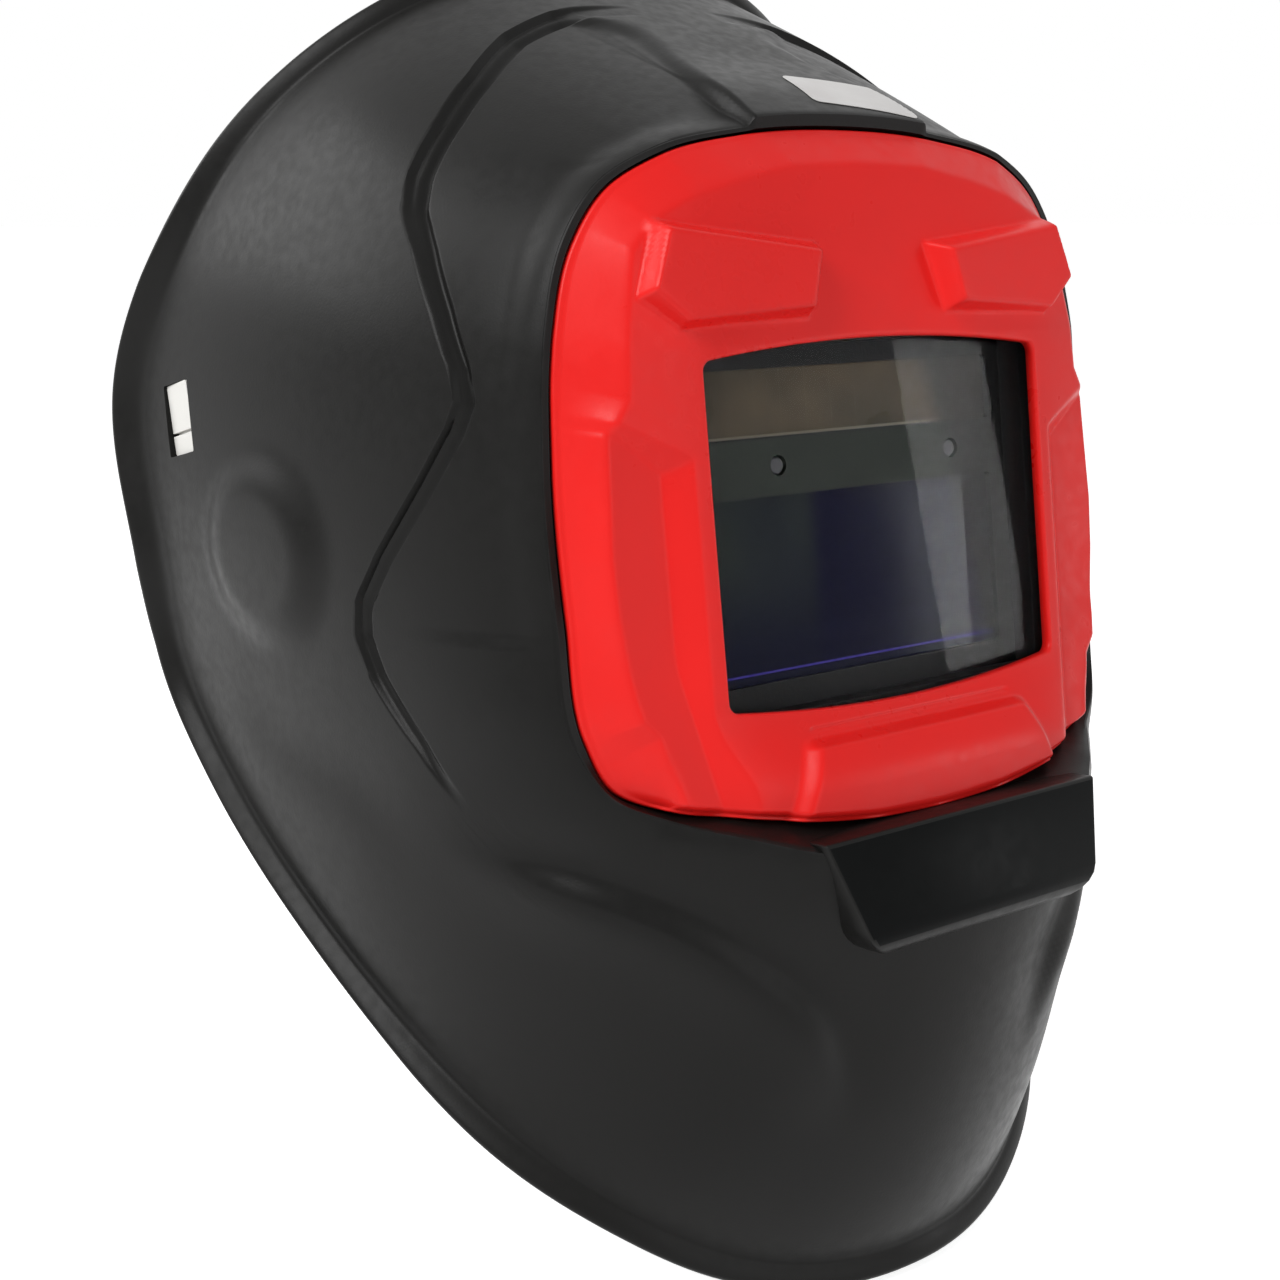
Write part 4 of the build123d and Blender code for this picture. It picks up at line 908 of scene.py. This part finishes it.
def buildBrushedMetal():  # drawn lines and dull patches on plated metal
    group, given, made = newGroup(
        "brushedMetal",
        [("Colour", "NodeSocketColor", (0.6, 0.6, 0.6, 1)), ("Roughness", "NodeSocketFloat", 0.3)],
        [("Colour", "NodeSocketColor"), ("Roughness", "NodeSocketFloat"), ("Height", "NodeSocketFloat")])
    place = addNode(group, "ShaderNodeTexCoord").outputs["Object"]
    stretched = addNode(group, "ShaderNodeMapping", {"Scale": (60.0, 2500.0, 2500.0)})
    group.links.new(place, stretched.inputs["Vector"])
    lines = noiseNode(group, stretched.outputs[0], 1.0, 2.0)
    patch = noiseNode(group, place, 180.0, 3.0)
    shade = rangeNode(group, patch, 0.3, 0.75, 1.0, 0.72)
    scaled = addNode(group, "ShaderNodeVectorMath", operation="SCALE")
    group.links.new(given.outputs["Colour"], scaled.inputs[0])
    group.links.new(shade, scaled.inputs["Scale"])
    group.links.new(scaled.outputs[0], made.inputs["Colour"])
    rough = mathNode(group, "ADD", given.outputs["Roughness"],
                     rangeNode(group, lines, 0.3, 0.7, -0.08, 0.12), clamp=True)
    group.links.new(rough, made.inputs["Roughness"])
    group.links.new(lines, made.inputs["Height"])
    return group


def buildWindowPlace():  # place across and up the window, in millimetres
    group, given, made = newGroup(
        "windowPlace", [], [("Across", "NodeSocketFloat"), ("Up", "NodeSocketFloat")])
    place = addNode(group, "ShaderNodeTexCoord").outputs["Object"]
    split = addNode(group, "ShaderNodeSeparateXYZ")
    group.links.new(place, split.inputs[0])
    group.links.new(mathNode(group, "MULTIPLY", split.outputs["X"], 1000.0), made.inputs["Across"])
    up = addNode(group, "ShaderNodeVectorMath", {1: (0.0, leanSin * 1000, leanCos * 1000)},
                 operation="DOT_PRODUCT")
    group.links.new(place, up.inputs[0])
    offset = windowAhead * leanSin + windowBelow * leanCos
    group.links.new(mathNode(group, "ADD", up.outputs["Value"], offset), made.inputs["Up"])
    return group


groups = {"grain": buildMouldedGrain(), "wearAndHighlight": buildEdgeWearAndHighlight(), "dust": buildDustFilm(),
          "knit": buildKnitWeave(), "metal": buildBrushedMetal(), "bands": buildWindowPlace()}


def startMaterial(name, **shaderValues):
    material = bpy.data.materials.new(name)
    material.use_nodes = True
    shader = material.node_tree.nodes["Principled BSDF"]
    for key, value in shaderValues.items():
        shader.inputs[key.replace("_", " ")].default_value = value
    return material, material.node_tree, shader


def useGroup(tree, key, **values):
    node = tree.nodes.new("ShaderNodeGroup")
    node.node_tree = groups[key]
    for name, value in values.items():
        node.inputs[name.replace("_", " ")].default_value = value
    return node


def addBump(tree, shader, height, strength, distance):
    bump = addNode(tree, "ShaderNodeBump", {"Strength": strength, "Distance": distance})
    tree.links.new(height, bump.inputs["Height"])
    tree.links.new(bump.outputs[0], shader.inputs["Normal"])


# the worn colour and its amount line the edges, as rubbed wear and as painted highlight along crisp edges
plastics = {
    "shellBlack": dict(colour=(0.0056, 0.0054, 0.0050), change=0.16, rough=0.36, sheen=0.08, grain=1500.0,
                       bump=0.08, worn=(0.03, 0.03, 0.031), wearAndHighlight=0.4, dust=0.004, specular=0.13),
    # painted shade: a darker, duller copy of the shell black for the chin block's front face, moulded in the
    # same plastic, with strong light edges as painted highlight
    "chinShadedBlack": dict(colour=(0.0016, 0.0020, 0.0020), change=0.16, rough=0.32, sheen=0.08, grain=1500.0,
                      bump=0.05, worn=(0.05, 0.05, 0.051), wearAndHighlight=0.9, dust=0.002, specular=0.05),
    "bezelRed": dict(colour=(0.76, 0.012, 0.010), change=0.05, rough=0.34, sheen=0.10, grain=1300.0,
                     bump=0.05, worn=(0.86, 0.07, 0.06), wearAndHighlight=0.35, dust=0.01, specular=0.2),
    "framePlastic": dict(colour=(0.012, 0.012, 0.013), change=0.2, rough=0.48, sheen=0.12, grain=1100.0,
                         bump=0.22, worn=(0.06, 0.06, 0.06), wearAndHighlight=0.4, dust=0.03, specular=0.25),
    "knobGrey": dict(colour=(0.085, 0.086, 0.09), change=0.15, rough=0.5, sheen=0.12, grain=1200.0,
                     bump=0.3, worn=(0.2, 0.2, 0.2), wearAndHighlight=0.6, dust=0.06, specular=0.45),
    "buttonRed": dict(colour=(0.5, 0.02, 0.02), change=0.1, rough=0.4, sheen=0.1, grain=1200.0,
                      bump=0.15, worn=(0.7, 0.1, 0.08), wearAndHighlight=0.4, dust=0.03, specular=0.5),
    "lugNylon": dict(colour=(0.66, 0.65, 0.62), change=0.06, rough=0.42, sheen=0.1, grain=900.0,
                     bump=0.15, worn=(0.8, 0.79, 0.76), wearAndHighlight=0.3, dust=0.04, specular=0.5),
    "washerNylon": dict(colour=(0.74, 0.73, 0.69), change=0.05, rough=0.5, sheen=0.1, grain=900.0,
                        bump=0.15, worn=(0.84, 0.83, 0.8), wearAndHighlight=0.3, dust=0.03, specular=0.5),
    "strapPlastic": dict(colour=(0.028, 0.028, 0.031), change=0.2, rough=0.42, sheen=0.14, grain=800.0,
                         bump=0.25, worn=(0.11, 0.11, 0.11), wearAndHighlight=0.5, dust=0.06, specular=0.45),
    "boardGreen": dict(colour=(0.02, 0.13, 0.05), change=0.15, rough=0.35, sheen=0.1, grain=500.0,
                       bump=0.1, worn=(0.3, 0.22, 0.06), wearAndHighlight=0.3, dust=0.02, specular=0.5),
    "sensorDome": dict(colour=(0.03, 0.03, 0.034), change=0.2, rough=0.3, sheen=0.05, grain=900.0,
                       bump=0.02, worn=(0.1, 0.1, 0.12), wearAndHighlight=0.1, dust=0.01, specular=0.2),
}


def plasticMaterial(name):
    look = plastics[name]
    material, tree, shader = startMaterial(name, Specular_IOR_Level=look["specular"])
    grain = useGroup(tree, "grain", Colour=(*look["colour"], 1), Variation=look["change"],
                     Roughness=look["rough"], Sheen_Change=look["sheen"], Grain_Scale=look["grain"])
    wearAndHighlight = useGroup(tree, "wearAndHighlight", Amount=look["wearAndHighlight"])
    dust = useGroup(tree, "dust", Amount=look["dust"])
    # edges in the worn colour: rubbed wear and painted highlight
    colour = mixColour(tree, wearAndHighlight.outputs["Mask"], grain.outputs["Colour"], (*look["worn"], 1))
    colour = mixColour(tree, dust.outputs["Mask"], colour, (0.35, 0.33, 0.3, 1))
    tree.links.new(colour, shader.inputs["Base Color"])
    tree.links.new(grain.outputs["Roughness"], shader.inputs["Roughness"])
    addBump(tree, shader, grain.outputs["Height"], look["bump"], 0.0003)
    return material


def metalMaterial(name, colour, rough):
    material, tree, shader = startMaterial(name, Metallic=1.0)
    metal = useGroup(tree, "metal", Colour=(*colour, 1), Roughness=rough)
    tree.links.new(metal.outputs["Colour"], shader.inputs["Base Color"])
    tree.links.new(metal.outputs["Roughness"], shader.inputs["Roughness"])
    addBump(tree, shader, metal.outputs["Height"], 0.15, 0.0001)
    return material


def fabricMaterial(name, thread, gap, scale):
    material, tree, shader = startMaterial(name, Sheen_Weight=0.35, Sheen_Roughness=0.5,
                                           Specular_IOR_Level=0.2)
    knit = useGroup(tree, "knit", Thread=(*thread, 1), Gap=(*gap, 1), Scale=scale)
    tree.links.new(knit.outputs["Colour"], shader.inputs["Base Color"])
    tree.links.new(knit.outputs["Roughness"], shader.inputs["Roughness"])
    addBump(tree, shader, knit.outputs["Height"], 0.6, 0.0004)
    return material


def glassMaterial(name, colour, ior, rough):  # clear cover lens with a few wipe marks
    material, tree, shader = startMaterial(name, Transmission_Weight=1.0, IOR=ior)
    place = addNode(tree, "ShaderNodeTexCoord").outputs["Object"]
    smear = noiseNode(tree, place, 45.0, 4.0, 0.6)
    tree.links.new(rangeNode(tree, smear, 0.45, 0.8, rough, rough + 0.008), shader.inputs["Roughness"])
    duller = tuple(c * 0.97 for c in colour)
    tint = mixColour(tree, rangeNode(tree, smear, 0.3, 0.8), (*colour, 1), (*duller, 1))
    tree.links.new(tint, shader.inputs["Base Color"])
    return material


def bandMask(tree, value, low, high, soft):
    rise = rangeNode(tree, value, low - soft, low + soft)
    fall = rangeNode(tree, value, high - soft, high + soft, 1.0, 0.0)
    return mathNode(tree, "MULTIPLY", rise, fall)


windowBands = dict(solarFoot=(20.6, 21.5, 0.15), seal=(-33.1, -32.7, 0.15), bar=(7.6, 20.4, 0.3),
                   barWidth=(-47.0, 47.0, 0.3))  # from, to and softness, in millimetres
# slant, span, strength and colour of the painted shadow of the tray's rim across the window
paintedRimShadow = dict(slant=0.23, start=32.0, end=38.0, strength=0.85, colour=(0.002, 0.002, 0.002, 1))


def farShade(tree, bands, colour):  # painted shadow: darkens the window towards one end, where the tray's rim would shade it
    lean = mathNode(tree, "MULTIPLY", bands.outputs["Up"], paintedRimShadow["slant"])
    place = mathNode(tree, "ADD", bands.outputs["Across"], lean)
    share = rangeNode(tree, place, paintedRimShadow["start"], paintedRimShadow["end"], 0.0, paintedRimShadow["strength"])
    return mixColour(tree, share, colour, paintedRimShadow["colour"])


def solarMaterial():  # thin-film cells: warm brown strips split by fine pale lines
    material, tree, shader = startMaterial("solarCells", Specular_IOR_Level=0.08)
    bands = useGroup(tree, "bands")
    across, up = bands.outputs["Across"], bands.outputs["Up"]
    place = addNode(tree, "ShaderNodeTexCoord").outputs["Object"]
    cell = mathNode(tree, "FRACT", mathNode(tree, "MULTIPLY", mathNode(tree, "ADD", across, 50.0), 0.13))
    lineMask = rangeNode(tree, cell, 0.0, 0.05, 0.4, 0.0)
    cloud = noiseNode(tree, place, 40.0, 4.0)
    colour = mixColour(tree, rangeNode(tree, cloud, 0.3, 0.7),
                       (0.030, 0.024, 0.016, 1), (0.075, 0.055, 0.036, 1))
    colour = mixColour(tree, lineMask, colour, (0.11, 0.09, 0.07, 1))
    foot = bandMask(tree, up, *windowBands["solarFoot"])
    colour = mixColour(tree, foot, colour, (0.16, 0.14, 0.11, 1))
    colour = farShade(tree, bands, colour)
    tree.links.new(colour, shader.inputs["Base Color"])
    tree.links.new(rangeNode(tree, cloud, 0.3, 0.7, 0.25, 0.4), shader.inputs["Roughness"])
    addBump(tree, shader, cloud, 0.05, 0.0002)
    return material


def cellMaterial(name, deep, paintedReflection, rough):  # dark coated cell with a violet seal, and a painted reflection that makes one side paler and greener
    material, tree, shader = startMaterial(name, Specular_IOR_Level=0.05)
    bands = useGroup(tree, "bands")
    place = addNode(tree, "ShaderNodeTexCoord").outputs["Object"]
    cloud = noiseNode(tree, place, 18.0, 3.0)
    # painted reflection: pale green-grey towards one side, fading towards the bottom
    side = rangeNode(tree, bands.outputs["Across"], -14.0, -9.5, 1.0, 0.0)
    share = mathNode(tree, "MULTIPLY", side, rangeNode(tree, cloud, 0.2, 0.7, 0.4, 1.0))
    share = mathNode(tree, "MULTIPLY", share, rangeNode(tree, bands.outputs["Up"], -28.0, -4.0, 0.1, 1.0))
    colour = mixColour(tree, share, (*deep, 1), (*paintedReflection, 1))
    seal = bandMask(tree, bands.outputs["Up"], *windowBands["seal"])
    colour = farShade(tree, bands, mixColour(tree, seal, colour, (0.05, 0.035, 0.28, 1)))
    tree.links.new(colour, shader.inputs["Base Color"])
    tree.links.new(rangeNode(tree, cloud, 0.3, 0.7, rough, rough + 0.08), shader.inputs["Roughness"])
    addBump(tree, shader, cloud, 0.02, 0.0002)
    return material


def cartridgeMaterial():  # filter case, with a grey-green bar behind the sensors
    material = plasticMaterial("framePlastic").copy()
    material.name = "cartridgePlastic"
    tree = material.node_tree
    shader = tree.nodes["Principled BSDF"]
    shader.inputs["Specular IOR Level"].default_value = 0.08
    bands = useGroup(tree, "bands")
    bar = bandMask(tree, bands.outputs["Up"], *windowBands["bar"])
    wide = bandMask(tree, bands.outputs["Across"], *windowBands["barWidth"])
    now = shader.inputs["Base Color"].links[0].from_socket
    colour = mixColour(tree, mathNode(tree, "MULTIPLY", bar, wide), now, (0.017, 0.020, 0.017, 1))
    tree.links.new(farShade(tree, bands, colour), shader.inputs["Base Color"])
    return material


def labelMaterial():  # bare paper label
    material, tree, shader = startMaterial("labelPaper", Specular_IOR_Level=0.4)
    place = addNode(tree, "ShaderNodeTexCoord").outputs["Object"]
    fibre = noiseNode(tree, place, 900.0, 4.0, 0.7)
    stain = noiseNode(tree, place, 60.0, 3.0)
    colour = mixColour(tree, rangeNode(tree, stain, 0.3, 0.8), (0.70, 0.69, 0.68, 1), (0.60, 0.58, 0.57, 1))
    tree.links.new(colour, shader.inputs["Base Color"])
    tree.links.new(rangeNode(tree, fibre, 0.3, 0.7, 0.45, 0.6), shader.inputs["Roughness"])
    addBump(tree, shader, fibre, 0.1, 0.0001)
    return material


finishes = {name: plasticMaterial(name) for name in plastics}
finishes["screwSteel"] = metalMaterial("screwSteel", (0.58, 0.58, 0.6), 0.32)
finishes["batterySteel"] = metalMaterial("batterySteel", (0.74, 0.74, 0.76), 0.18)
finishes["sweatFabric"] = fabricMaterial("sweatFabric", (0.075, 0.075, 0.085), (0.02, 0.02, 0.024), 900.0)
finishes["padFabric"] = fabricMaterial("padFabric", (0.06, 0.06, 0.07), (0.015, 0.015, 0.018), 650.0)
finishes["clearLens"] = glassMaterial("clearLens", (0.97, 0.985, 0.98), 1.075, 0.0)
# the second colour of each cell is the painted reflection's pale green-grey
finishes["filterGlass"] = cellMaterial("filterGlass", (0.0015, 0.0015, 0.012), (0.019, 0.023, 0.019), 0.08)
finishes["lcdGlass"] = cellMaterial("lcdGlass", (0.0015, 0.0015, 0.012), (0.016, 0.019, 0.016), 0.06)
finishes["solarCells"] = solarMaterial()
finishes["cartridge"] = cartridgeMaterial()
finishes["labelPaper"] = labelMaterial()

nodesOfFinish = {  # CAD nodes that stand alone
    "shellBlack": ["shell"],
    "bezelRed": ["front_bezel"],
    "screwSteel": ["bezel_screws", "tray_screws", "control_pots"],
    "clearLens": ["cover_lens", "inner_cover_lens"],
    "cartridge": ["filter_front_case"],
    "solarCells": ["solar_panel"],
    "filterGlass": ["uv_filter_glass"],
    "lcdGlass": ["lcd_cell"],
    "boardGreen": ["circuit_board"],
    "knobGrey": ["shade_knob", "sensitivity_knob", "delay_knob"],
    "buttonRed": ["test_button"],
    "washerNylon": ["ratchet_pinion"],
    "strapPlastic": ["forehead_band"],
    "framePlastic": ["lens_tray", "filter_rear_case", "ratchet_knob", "ratchet_housing", "ratchet_cover",
                     "crown_peg"],
    "padFabric": ["rear_pad"],
    "sweatFabric": ["sweatband"],
}
pairsOfFinish = {  # CAD nodes with a left and a right
    "sensorDome": ["arc_sensor"],
    "batterySteel": ["battery"],
    "lugNylon": ["pivot_lug", "pivot_pin", "angle_stop"],
    "washerNylon": ["friction_washer"],
    "strapPlastic": ["rack_strap", "crown_strap"],
    "framePlastic": ["filter_latch", "tension_knob", "pivot_bridge"],
}
finishOfNode = {name: finish for finish, names in nodesOfFinish.items() for name in names}
for finish, names in pairsOfFinish.items():
    for name in names:
        finishOfNode[name + "_left"] = finishOfNode[name + "_right"] = finish


def dress(obj, finish):
    if not obj.material_slots:
        obj.data.materials.append(finishes[finish])
    for materialSlot in obj.material_slots:
        materialSlot.material = finishes[finish]


for name, obj in nodes.items():
    if name not in finishOfNode:
        print("node without a finish:", name)
    dress(obj, finishOfNode.get(name, "framePlastic"))
for obj, finish in ((helmetShell, "shellBlack"), (trayPlate, "shellBlack"), (chinBlock, "chinShadedBlack"),
                    (frontBezel, "bezelRed"), (blankLabel, "labelPaper"), (pads["sweatband"], "sweatFabric"),
                    (pads["rear_pad"], "padFabric")):
    dress(obj, finish)
chinBlock.data.materials.append(finishes["shellBlack"])  # the sides keep the shell black; the front face takes the darker copy, which is painted shade
ahead = Vector(windowPoint(0, 0, 1.0)) - Vector(windowPoint(0, 0, 0))
for polygon in chinBlock.data.polygons:
    polygon.material_index = 0 if polygon.normal.dot(ahead) > chin["facing"] else 1
print("finishes set:", len(finishes))

# studio
studio = dict(floorZ=cadBox[0].z - 0.0005, floorSize=60, floorGlow=0.72, roomLight=0.30,
              camera=(-0.29149, -0.44169, 0.05171), aim=(0.572, 0.787, -0.229), lens=51.2)
lamps = {  # place, aim, width, height, power
    "keyLamp": ((-1.25, -0.25, 1.05), (0, 0, 0), 0.9, 0.9, 20.0),
    "backLamp": ((-0.9, 0.9, 0.7), (0, 0, -0.05), 0.8, 0.8, 7.0),
    "fillLamp": ((0.1, -1.7, 0.3), (0, 0, -0.05), 1.2, 1.2, 5.0),
    "windowStrip": ((0.88, -0.97, 0.04), (0.03, -0.14, -0.017), 0.075, 0.40, 1.1),
}


def seenDirectly(tree):  # 1 where the camera, a gloss or a clear part sees the surface
    path = addNode(tree, "ShaderNodeLightPath")
    through = mathNode(tree, "MAXIMUM", path.outputs["Is Glossy Ray"], path.outputs["Is Transmission Ray"])
    return mathNode(tree, "MAXIMUM", path.outputs["Is Camera Ray"], through)


def makeFloor():
    clearSelection()
    bpy.ops.mesh.primitive_plane_add(size=studio["floorSize"], location=(0, 0, studio["floorZ"]))
    floor = bpy.context.object
    floor.name = floor.data.name = "studioFloor"
    settle(floor)
    material, tree, shader = startMaterial("palePaper", Roughness=0.9, Specular_IOR_Level=0.1)
    place = addNode(tree, "ShaderNodeTexCoord").outputs["Object"]
    colour = mixColour(tree, noiseNode(tree, place, 3.0), (0.93, 0.93, 0.93, 1), (0.95, 0.95, 0.95, 1))
    tree.links.new(colour, shader.inputs["Base Color"])
    shader.inputs["Emission Color"].default_value = (1, 1, 1, 1)
    glow = mathNode(tree, "MULTIPLY", seenDirectly(tree), studio["floorGlow"])
    tree.links.new(glow, shader.inputs["Emission Strength"])
    floor.data.materials.append(material)
    return floor


def makeLamp(name, place, aim, width, height, power):
    clearSelection()
    bpy.ops.object.light_add(type="AREA", location=place)
    lamp = bpy.context.object
    lamp.name = lamp.data.name = name
    lamp.data.shape, lamp.data.size, lamp.data.size_y, lamp.data.energy = "RECTANGLE", width, height, power
    lamp.rotation_euler = (Vector(aim) - Vector(place)).to_track_quat("-Z", "Y").to_euler()
    return lamp


def makeWorld():  # white where it is seen, dimmer as a light
    world = bpy.data.worlds.new("studioWorld")
    bpy.context.scene.world = world
    world.use_nodes = True
    tree = world.node_tree
    back = tree.nodes["Background"]
    back.inputs["Color"].default_value = (1, 1, 1, 1)
    strength = rangeNode(tree, seenDirectly(tree), 0.0, 1.0, studio["roomLight"], 1.0)
    tree.links.new(strength, back.inputs["Strength"])


makeFloor()
for name, values in lamps.items():
    makeLamp(name, *values)
makeWorld()
clearSelection()
bpy.ops.object.camera_add(location=studio["camera"])
camera = bpy.context.object
camera.data.lens, camera.data.sensor_width = studio["lens"], 36.0
camera.data.clip_start, camera.data.clip_end = 0.01, 50
camera.rotation_euler = Vector(studio["aim"]).to_track_quat("-Z", "Y").to_euler()
bpy.context.scene.camera = camera
bpy.context.scene.view_settings.view_transform = "Standard"
print("studio set")
